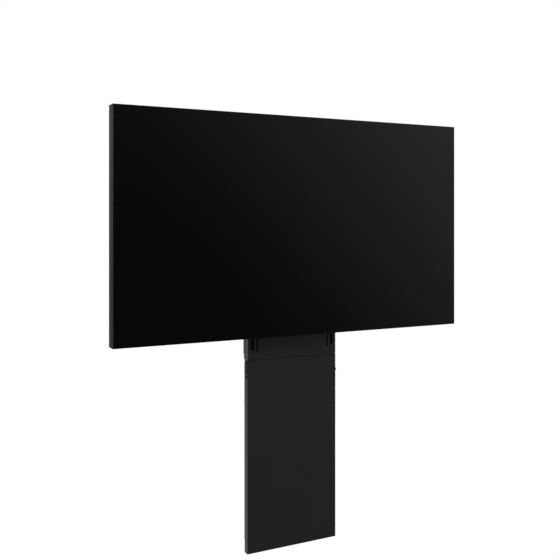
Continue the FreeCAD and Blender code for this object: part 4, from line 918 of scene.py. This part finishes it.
@dataclass
class DisplayScreen(Assembly):
    """The large display: glass, rear cover details, sockets and handle feet."""

    body: ClassVar[Body] = Body.DISPLAY
    glass_corner: float = 0.0035
    glass_bevel: float = 0.0005
    cover_screw: Pair = (0.0042, 0.0022)
    cover_screw_inset: float = 0.022
    cover_screw_counts: tuple[int, int] = (9, 6)
    bead_height: float = 0.003
    bead_width: float = 0.010
    bead_margin: float = 0.018
    bead_corner: float = 0.012
    field_margin: float = 0.05
    field_foot: float = 0.30
    field_top: float = 0.055
    field_corner: float = 0.03
    vent_x: float = 0.64
    vent_half: float = 0.075
    vent_foot: float = 0.4515
    vent_top: float = 0.7285
    screen_gap: float = 0.0012
    screen_thick: float = 0.0006
    screen_lap: float = 0.010
    cloth_half: float = 0.072
    cloth_rise: float = 0.0026
    cloth_depths: Pair = (0.046, 0.006)
    cloth_thick: float = 0.0005
    port_count: int = 5
    port_pitch: float = 0.032
    port_floor: float = 0.002
    port_depth: float = 0.0058
    port_half: Pair = (0.0086, 0.0041)
    port_corner: float = 0.0012
    shell_wall: float = 0.0006
    tongue_half: Pair = (0.0062, 0.0009)
    tongue_gap: float = 0.0012
    tongue_bevel: float = 0.0003
    blade_depth: float = 0.018
    blade_length: float = 0.013
    blade_half: Pair = (0.001, 0.002)
    blade_bevel: float = 0.0004
    blade_shifts: Profile = ((-0.007, -0.002), (0, 0.002), (0.007, -0.002))
    hole_half: Pair = (0.3, 0.2)
    bolt_head: Pair = (0.0068, 0.003)
    bolt_seat: float = 0.004
    bolt_radius: float = 0.0039
    bolt_tip: Pair = (0.0034, 0.0006)
    washer: Pair = (0.0095, 0.0012)
    washer_hole: float = 0.0042
    pad_half: Pair = (0.011, 0.014)
    pad_thick: float = 0.0022
    pad_corner: float = 0.004
    pad_inset: Pair = (0.008, -0.010)
    pad_screw: Pair = (0.003, 0.0018)

    def build(self) -> None:
        """Builds every piece of the display."""
        self.front_glass()
        self.cover_screws()
        self.cover_beads()
        self.vent_screens()
        self.ports()
        self.inlet_blades()
        self.speaker_cloth()
        self.strip_bolts()
        self.handle_feet()

    def front_glass(self) -> None:
        """Front glass with round corners and a fine ground edge."""
        shell = Shell.block(*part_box("front_glass")).bevelled(self.glass_corner, 6, Way.BACK)
        self.piece("cover_glass", Slot.GLASS).add(shell.bevelled(self.glass_bevel, 3)).done("front_glass")

    def cover_screws(self) -> None:
        """Socket head screws round the rear cover."""
        low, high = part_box("rear_cover")
        inset = self.cover_screw_inset
        across = span(low.x + inset, high.x - inset, self.cover_screw_counts[0])
        upward = span(low.z + inset, high.z - inset, self.cover_screw_counts[1])
        places = grid(across, [high.y], (upward[0], upward[-1]))
        places += grid((across[0], across[-1]), [high.y], upward[1:-1])
        self.screws("rear_cover_screws", self.cover_screw, Way.BACK, places)

    def cover_beads(self) -> None:
        """Moulded beads of the rear cover: round the vents, the sockets and the middle field."""
        low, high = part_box("rear_cover")
        ports_low, ports_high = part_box("port_panel")
        inlet_low, inlet_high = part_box("display_inlet")
        boards_low, boards_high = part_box("circuit_boards")
        frames = [(x - self.vent_half, x + self.vent_half, self.vent_foot, self.vent_top)
                  for x in (-self.vent_x, self.vent_x)]
        frames.append((ports_low.x, ports_high.x, ports_low.z, ports_high.z))
        frames.append((inlet_low.x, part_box("switch_frame")[1].x, inlet_low.z, inlet_high.z))
        margin = self.bead_margin
        beads = [(left - margin, right + margin, foot - margin, top + margin, self.bead_corner)
                 for left, right, foot, top in frames]
        beads.append((boards_low.x - self.field_margin, boards_high.x + self.field_margin,
                      low.z + self.field_foot, high.z - self.field_top, self.field_corner))
        piece = self.piece("rear_cover_beads", Slot.COVER)
        for left, right, foot, top, corner in beads:
            crest = Vector((right, high.y + self.bead_height, top))
            piece.add(Shell.raised_frame(Vector((left, high.y, foot)), crest, corner, self.bead_width))
        piece.done()

    def screens(self, name: str, half: float, low: Pair, high: Pair) -> None:
        """Perforated strips at the same place of both sides.

        Args:
            name: Name of the piece.
            half: Half width of a strip.
            low: Lowest depth and height.
            high: Highest depth and height.
        """
        pair = Piece(name, self.body, Slot.PANEL, self.palette.mesh_screen())
        for centre in (-self.vent_x, self.vent_x):
            pair.add(Shell.block(Vector((centre - half, *low)), Vector((centre + half, *high))))
        pair.done()

    def vent_screens(self) -> None:
        """Perforated screens close behind the vent slots."""
        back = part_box("rear_cover")[0].y - self.screen_gap
        lap = self.screen_lap
        self.screens("vent_screens", self.vent_half + lap, (back - self.screen_thick, self.vent_foot - lap),
                     (back, self.vent_top + lap))

    def speaker_cloth(self) -> None:
        """Cloth strips over the loudspeaker slots, inside the bottom edge."""
        low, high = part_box("bottom_edge")
        face = low.z + self.cloth_rise
        front, back = self.cloth_depths
        self.screens("speaker_cloth", self.cloth_half, (high.y - front, face),
                     (high.y - back, face + self.cloth_thick))

    def ports(self) -> None:
        """Metal shells and contact tongues of the signal sockets."""
        centre = middle("port_panel")
        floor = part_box("port_panel")[0].y + self.port_floor
        mouth = floor + self.port_depth
        half_x, half_z = self.port_half
        ring = Shell.raised_frame(Vector((-half_x, floor, -half_z)), Vector((half_x, mouth, half_z)),
                                  self.port_corner, self.shell_wall)
        tongue = Shell.bar(self.tongue_half, floor, mouth - self.tongue_gap).bevelled(self.tongue_bevel, 1)
        reach = self.port_pitch * (self.port_count - 1) / 2
        places = grid(span(centre.x - reach, centre.x + reach, self.port_count), [0], [centre.z])
        self.lay("port_shells", Slot.ZINC, ring, places)
        self.lay("port_tongues", Slot.SOCKET, tongue, places)

    def inlet_blades(self) -> None:
        """Three flat pins in the display's mains inlet."""
        centre = middle("display_inlet")
        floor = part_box("display_inlet")[1].y - self.blade_depth
        pin = Shell.bar(self.blade_half, floor, floor + self.blade_length).bevelled(self.blade_bevel)
        places = [Vector((centre.x + dx, 0, centre.z + dz)) for dx, dz in self.blade_shifts]
        self.lay("display_inlet_pins", Slot.ZINC, pin, places)

    def strip_bolts(self) -> None:
        """Socket head bolts and washers that hold the hook strips."""
        low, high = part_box("screen_bolts")
        seat = high.y - self.bolt_seat
        length = seat - low.y
        rim, thick = self.washer
        hole, radius = self.washer_hole, self.bolt_radius
        tip, slope = self.bolt_tip
        head = Shell.socket_screw(*self.bolt_head, 20)
        washer = Shell.turned([(hole, 0), (rim, 0), (rim, thick), (hole, thick), (hole, 0)])
        shank = Shell.turned([(0, 0), (tip, 0), (radius, slope), (radius, length), (0, length)], 20)
        across, rise = self.hole_half
        bolts = self.piece("strip_bolts", Slot.ZINC)
        for shell, y in ((washer, seat), (head, seat + thick), (shank, low.y)):
            places = grid((-across, across), [y], beside([middle("screen_bolts").z], rise))
            bolts.add(shell.turned_to(Way.BACK), places)
        bolts.done("screen_bolts")

    def handle_feet(self) -> None:
        """Screwed pads at both ends of the lifting handles."""
        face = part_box("rear_cover")[1].y
        pad = Shell.bar(self.pad_half, 0, self.pad_thick).bevelled(self.pad_corner, 4, Way.BACK)
        self.lay("handle_pads", Slot.SOCKET, pad, corners("rear_handles", face, self.pad_inset))
        places = corners("rear_handles", face + self.pad_thick, self.pad_inset)
        self.screws("handle_screws", self.pad_screw, Way.BACK, places)


@dataclass
class WallColumn(Assembly):
    """The column: housing, cover and brackets, with their fasteners."""

    cap_screw: Profile = ((0, 0), (0.0034, 0), (0.0034, 0.0004), (0.00272, 0.0008), (0.00153, 0.0008),
                          (0.00119, 0.0002), (0, 0.0002))
    cap_inset: Place = (0.014, 0.012, 0.010)
    rail_half: float = 0.0075
    rail_screw: Pair = (0.0042, 0.0004)
    rail_screw_end: float = 0.03
    rail_screw_pitch: float = 0.08
    flange: Pair = (0.0075, 0.0009)
    hexagon: Pair = (0.0068, 0.006)
    hexagon_wall: float = 0.8
    shank_radius: float = 0.0039
    shank_tip: Pair = (0.0034, 0.0004)
    stud_radius: float = 0.004
    stud_height: float = 0.0012
    stud_taper: float = 0.8
    box_stud_inset: Pair = (0.012, 0.015)
    drive_stud_half: float = 0.018
    drive_stud_foot: float = 0.014
    drive_stud_top: float = 0.012
    stand_off_screw: Pair = (0.0048, 0.003)
    stand_off_sheet: float = 0.003
    stand_off_inset: Pair = (0.03, 0.02)
    stand_off_count: int = 5
    pin_head: float = 0.0075
    pin_head_length: float = 0.007
    pin_head_wall: float = 0.8
    pin_head_face: float = 0.85
    notch_depth: float = 0.0175
    notch_tab: float = 0.012
    notch_leg: float = 0.01
    notch_gap: float = 0.001
    notch_round: float = 0.0004
    cover_sheet: float = 0.0015
    lid_screw: Pair = (0.0026, 0.0016)
    lid_inset: Pair = (0.007, 0.007)
    header_half: Pair = (0.006, 0.005)
    header_height: float = 0.007
    header_bevel: float = 0.0008
    header_end: float = 0.018
    header_count: int = 5

    def build(self) -> None:
        """Builds the pieces of the column."""
        self.cap_screws()
        self.rail_screws()
        self.housing_bolts()
        self.plate_studs()
        self.stand_off_screws()
        self.pin_heads()
        self.notch_tabs()
        self.electronics_trim()

    def cap_screws(self) -> None:
        """Low screws in the top cap."""
        low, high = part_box("top_cap")
        side, front, back = self.cap_inset
        places = grid((low.x + side, 0.0, high.x - side), (low.y + front, high.y - back), [high.z])
        self.lay("top_cap_screws", Slot.ZINC, Shell.turned(self.cap_screw, 20), places)

    def rail_screws(self) -> None:
        """Socket head screws down both guide rails."""
        low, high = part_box("rails")
        end = self.rail_screw_end
        heights = span(low.z + end, high.z - end, int((high.z - low.z) / self.rail_screw_pitch))
        places = grid((low.x + self.rail_half, high.x - self.rail_half), [low.y], heights)
        self.screws("rail_screws", self.rail_screw, Way.FRONT, places)

    def housing_bolts(self) -> None:
        """Bolts with flanged heads that hold the housing on its wall bracket."""
        low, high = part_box("bracket_bolts")
        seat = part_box("upper_back_plate")[0].y
        reach, length = seat - low.y, high.y - seat
        rim, flange = self.flange
        across, face = self.hexagon
        radius = self.shank_radius
        tip, slope = self.shank_tip
        shells = [
            Shell.turned([(0, 0), (rim, 0), (rim, flange), (0, flange)], 22).turned_to(Way.FRONT),
            Shell.turned([(0, flange), (across, flange), (across, reach * self.hexagon_wall), (face, reach),
                          (0, reach)], 6).turned_to(Way.FRONT),
            Shell.turned([(0, 0), (radius, 0), (radius, length - slope), (tip, length), (0, length)],
                         18).turned_to(Way.BACK),
        ]
        bolts = self.piece("housing_bolts", Slot.ZINC)
        for shell in shells:
            bolts.add(shell, corners("bracket_bolts", seat, (rim, rim)))
        bolts.done("bracket_bolts")

    def plate_studs(self) -> None:
        """Press-in stud heads behind the lower back plate, where the inner parts are fastened."""
        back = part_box("lower_back_plate")[1].y
        low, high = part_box("drive_brackets")
        radius, height = self.stud_radius, self.stud_height
        top = radius * self.stud_taper
        head = Shell.turned([(0, 0), (radius, 0), (top, height), (0, height)], 18)
        places = grid(beside(DRIVES, self.drive_stud_half), [back],
                      (low.z + self.drive_stud_foot, high.z - self.drive_stud_top))
        for box in ("control_box", "power_supply"):
            places += corners(box, back, self.box_stud_inset)
        self.lay("plate_studs", Slot.ZINC, head.turned_to(Way.BACK), places)

    def stand_off_screws(self) -> None:
        """Screws that join the stand-off bracket to the lower back plate."""
        low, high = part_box("lower_wall_bracket")
        side, rise = self.stand_off_inset
        across = span(low.x + side, high.x - side, self.stand_off_count)
        places = grid(across, [low.y + self.stand_off_sheet], [low.z + rise])
        self.screws("stand_off_screws", self.stand_off_screw, Way.BACK, places)

    def pin_heads(self) -> None:
        """Round heads on the ends of the pins that the cover hangs on."""
        pins = middle("cover_pins")
        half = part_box("lower_cover")[1].x
        radius, length = self.pin_head, self.pin_head_length
        wall, face = length * self.pin_head_wall, radius * self.pin_head_face
        profile = [(0, 0), (radius, 0), (radius, wall), (face, length), (0, length)]
        heads = self.piece("cover_pin_heads", Slot.COLUMN)
        for x, way in ((-half, Way.LEFT), (half, Way.RIGHT)):
            heads.add(Shell.turned(profile, 20).turned_to(way), [Vector((x, pins.y, pins.z))])
        heads.done()

    def notch_tabs(self) -> None:
        """Angles inside the cover behind its two notches, each with a leg along the flange."""
        low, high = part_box("lower_cover")
        front = low.y + self.cover_sheet + self.notch_depth
        inner = high.x - self.cover_sheet
        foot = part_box("cover_brackets")[1].z + self.notch_gap
        sheet, width, leg = self.cover_sheet, self.notch_tab, self.notch_leg
        outline = [(0, 0), (width, 0), (width, sheet), (sheet, sheet), (sheet, leg), (0, leg)]
        # The lighter inner steel finish is painted light: it makes the tabs read as bright as the lit cover
        # front, though they sit in the shade of the notch.
        tabs = self.piece("notch_tabs", Slot.INNER_STEEL)
        for side in (-1, 1):
            points = [(side * (inner - across), front + back, foot) for across, back in outline]
            angle = Shell.prism(points, Vector((0, 0, high.z - self.notch_gap - foot)))
            tabs.add(angle.bevelled(self.notch_round, 2))
        tabs.done()

    def electronics_trim(self) -> None:
        """Lid screws and the connector row of the control box."""
        places = corners("control_lid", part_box("control_lid")[0].y, self.lid_inset)
        self.screws("lid_screws", self.lid_screw, Way.FRONT, places)
        low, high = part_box("control_box")
        half_x, half_y = self.header_half
        header = Shell.block(Vector((-half_x, -half_y, 0)), Vector((half_x, half_y, self.header_height)))
        across = span(low.x + self.header_end, high.x - self.header_end, self.header_count)
        places = grid(across, [(low.y + high.y) / 2], [high.z])
        self.lay("control_headers", Slot.SOCKET, header.bevelled(self.header_bevel), places)


@dataclass
class SpindleDrives(Assembly):
    """The two spindle drives: threaded spindles, motor bands, gearbox screws and wipers."""

    lead: float = 0.010
    thread_height: float = 0.0011
    thread_flat: float = 0.0022
    thread_slope: float = 0.0014
    steps_per_turn: int = 14
    journal: float = 0.004
    shoulder: float = 0.0245
    core_gap: float = 0.0001
    core_chamfer: float = 0.001
    core_tip: float = 0.8
    band: Profile = ((0.0144, 0), (0.0149, 0.0003), (0.0149, 0.0047), (0.0144, 0.005), (0.0144, 0))
    band_rises: Pair = (0.010, 0.078)
    gearbox_front: float = 0.015
    gearbox_drop: float = 0.017
    gearbox_screw: Pair = (0.0028, 0.002)
    gearbox_half: Pair = (0.013, 0.012)
    lip: Profile = ((0.0105, 0), (0.0128, 0), (0.0125, 0.0012), (0.0108, 0.002), (0.0105, 0.002),
                    (0.0105, 0))

    def build(self) -> None:
        """Builds the pieces of both drives."""
        self.spindle("left_spindle", Body.LEFT_SPINDLE)
        self.spindle("right_spindle", Body.RIGHT_SPINDLE)
        self.motor_bands()
        self.gearbox_screws()
        self.gland_wipers()

    def spindle(self, node: str, body: Body) -> None:
        """Spindle with a trapezoidal thread, in place of the plain cylinder.

        Args:
            node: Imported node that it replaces.
            body: Body that turns.
        """
        low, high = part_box(node)
        centre = (low + high) / 2
        crest = (high.x - low.x) / 2
        root = crest - self.thread_height
        core = root - self.core_gap
        seat = low.z + self.shoulder
        length = high.z - seat
        flat, rise = self.thread_flat, self.thread_flat + self.thread_slope
        tooth = [(root, 0), (root, flat), (crest, rise), (crest, flat + rise), (root, 2 * rise),
                 (root, self.lead)]
        thread = Shell()
        thread.spun(tooth, self.steps_per_turn, self.lead, int(length / self.lead) - 1, use_merge=False)
        foot, journal, tip = -self.shoulder, self.journal, root * self.core_tip
        rod = Shell.turned([(0, foot), (journal, foot), (journal, 0), (core, 0),
                            (core, length - self.core_chamfer), (tip, length), (0, length)], 28)
        place = [Vector((centre.x, centre.y, seat))]
        self.piece(f"{node}_thread", Slot.TUBE, body).add(thread.closed(), place).add(rod, place).done(node)

    def motor_bands(self) -> None:
        """Two bands round each motor."""
        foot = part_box("gearmotors")[0].z
        places = grid(DRIVES, [middle("gearmotors").y], [foot + rise for rise in self.band_rises])
        self.lay("motor_bands", Slot.ZINC, Shell.turned(self.band, 32), places)

    def gearbox_screws(self) -> None:
        """Four screws in the front of each gearbox."""
        front = middle("gearmotors").y - self.gearbox_front
        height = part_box("gearmotors")[1].z - self.gearbox_drop
        side, rise = self.gearbox_half
        places = grid(beside(DRIVES, side), [front], beside([height], rise))
        self.screws("gearbox_screws", self.gearbox_screw, Way.FRONT, places)

    def gland_wipers(self) -> None:
        """Wiper lips on top of the glands, close round the push tubes."""
        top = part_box("glands")[1].z
        places = grid(DRIVES, [middle("glands").y], [top])
        self.lay("gland_wipers", Slot.RUBBER, Shell.turned(self.lip, 28), places)


@dataclass
class Carriage(Assembly):
    """The carriage and its crossbars: the fasteners that join them."""

    body: ClassVar[Body] = Body.CARRIAGE
    block_half: Pair = (0.0235, 0.03)
    block_screw: Pair = (0.0042, 0.0038)
    block_screw_half: Pair = (0.016, 0.02)
    upright_half: float = 0.015
    upright_screw: Pair = (0.0046, 0.0016)
    upright_screw_half: float = 0.009
    tab_thick: float = 0.005
    tab_screw: Pair = (0.0042, 0.0035)
    tab_screw_half: float = 0.011
    tab_drop: float = 0.015

    def build(self) -> None:
        """Builds the pieces of the carriage."""
        self.block_screws()
        self.upright_screws()
        self.rod_screws()

    def block_screws(self) -> None:
        """Four socket head screws over each guide block."""
        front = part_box("carriage_plate")[0].y
        side, rise = self.block_screw_half
        places = []
        for block in corners("guide_blocks", front, self.block_half):
            places += grid(beside([block.x], side), [front], beside([block.z], rise))
        self.screws("carriage_screws", self.block_screw, Way.FRONT, places)

    def upright_screws(self) -> None:
        """Low head screws that hold the uprights on the crossbars, from behind."""
        low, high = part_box("uprights")
        across = beside((low.x + self.upright_half, high.x - self.upright_half), self.upright_screw_half)
        heights = [middle(bar).z for bar in ("upper_crossbar", "lower_crossbar")]
        self.screws("upright_screws", self.upright_screw, Way.BACK, grid(across, [high.y], heights))

    def rod_screws(self) -> None:
        """Screws in the tabs of the rod blocks."""
        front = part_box("carriage_plate")[0].y - self.tab_thick
        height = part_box("rod_blocks")[1].z - self.tab_drop
        places = grid(beside(DRIVES, self.tab_screw_half), [front], [height])
        self.screws("rod_block_screws", self.tab_screw, Way.FRONT, places)


@dataclass(frozen=True)
class Lamp:
    """Large square soft light, with its place, the point it faces, its side and its watts."""

    name: str
    place: Place
    aim: Place
    size: float
    power: float

    def hang(self) -> None:
        """Puts the lamp in the scene."""
        data = bpy.data.lights.new(self.name, "AREA")
        data.shape = "SQUARE"
        data.size = self.size
        data.energy = self.power
        lamp = placed(self.name, data)
        lamp.location = self.place
        lamp.rotation_euler = (Vector(self.aim) - Vector(self.place)).to_track_quat("-Z", "Y").to_euler()


@dataclass
class Studio:
    """Camera, lamps, world and floor."""

    camera_at: Place = (-1.876, -3.607, 0.286)
    camera_turn: float = math.radians(-26.9)
    lens: float = 50.13
    sensor: float = 36.0
    shift_y: float = -0.1042
    floor_drop: float = 0.25
    floor_half: float = 2.0
    floor_back: float = 1.8
    ambient: float = 0.46
    front_dim: float = 0.03
    front_glow: float = 0.5
    glow_slant: float = 0.9
    glow_angles: Pair = (math.radians(18), math.radians(56))
    back_low: float = 0.48
    back_rise: float = 0.5
    rise_heights: Pair = (-0.1, 0.18)
    back_depths: Pair = (-0.2, 0.4)
    lamps: tuple[Lamp, ...] = (
        Lamp("key_lamp", (-2.2, -4.0, 3.6), (0.0, 0.0, 0.0), 3.0, 130.0),
        Lamp("side_lamp", (-3.8, 0.5, 2.3), (0.0, 0.0, -0.2), 2.5, 27.0),
        Lamp("back_lamp", (2.4, 3.2, 3.4), (0.0, 0.0, 0.0), 1.6, 110.0),
    )

    def build(self) -> None:
        """Sets up everything that isn't part of the object."""
        self.camera()
        self.floor()
        self.world()
        for lamp in self.lamps:
            lamp.hang()
        bpy.context.scene.view_settings.view_transform = "Standard"

    def camera(self) -> None:
        """Level camera in front and to the left, shifted to the photograph's framing."""
        data = bpy.data.cameras.new("camera")
        data.lens = self.lens
        data.sensor_width = self.sensor
        data.shift_y = self.shift_y
        camera = placed("camera", data)
        camera.location = self.camera_at
        camera.rotation_euler = (math.radians(90), 0, self.camera_turn)
        bpy.context.scene.camera = camera

    def floor(self) -> None:
        """Pale floor a little under the foot of the column, mostly behind it."""
        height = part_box("lower_cover")[0].z - self.floor_drop
        mesh = bmesh.new()
        bmesh.ops.create_grid(mesh, x_segments=1, y_segments=1, size=self.floor_half)
        bmesh.ops.translate(mesh, vec=(0, self.floor_back, height), verts=mesh.verts)
        data = bpy.data.meshes.new("studio_floor")
        mesh.to_mesh(data)
        mesh.free()
        data.materials.append(material_of("pale_floor", PaleFloor()))
        placed("studio_floor", data)

    def world(self) -> None:
        """White surround for the camera; for gloss, pale behind and a glow from the front right."""
        world = bpy.data.worlds.new("studio")
        bpy.context.scene.world = world
        graph = Graph(world)
        across, depth, upward = graph.signal("ShaderNodeTexCoord", output="Generated").axes()
        climb = across.bearing(0 - depth) + self.glow_slant * upward.arcsine()
        front = self.front_dim + self.front_glow * climb.eased(*self.glow_angles)
        pale = self.back_low + self.back_rise * upward.eased(*self.rise_heights)
        gloss = front + (pale - front) * depth.eased(*self.back_depths)
        strength = self.ambient + graph.mirrored().clipped() * (gloss - self.ambient)
        strength = strength + graph.ray("Is Camera Ray") * (1 - strength)
        shader = graph.signal("ShaderNodeBackground", {"Color": grey(1.0), "Strength": strength})
        graph.node("ShaderNodeOutputWorld", {"Surface": shader})


def main() -> None:
    """Builds the sub-assemblies in order and reports each piece."""
    logging.basicConfig(level=logging.INFO, format="%(message)s")
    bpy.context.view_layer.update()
    palette = Palette()
    palette.dress_nodes()
    for kind in (DisplayScreen, WallColumn, SpindleDrives, Carriage):
        kind(palette).build()
    Studio().build()


if __name__ == "__main__":
    main()
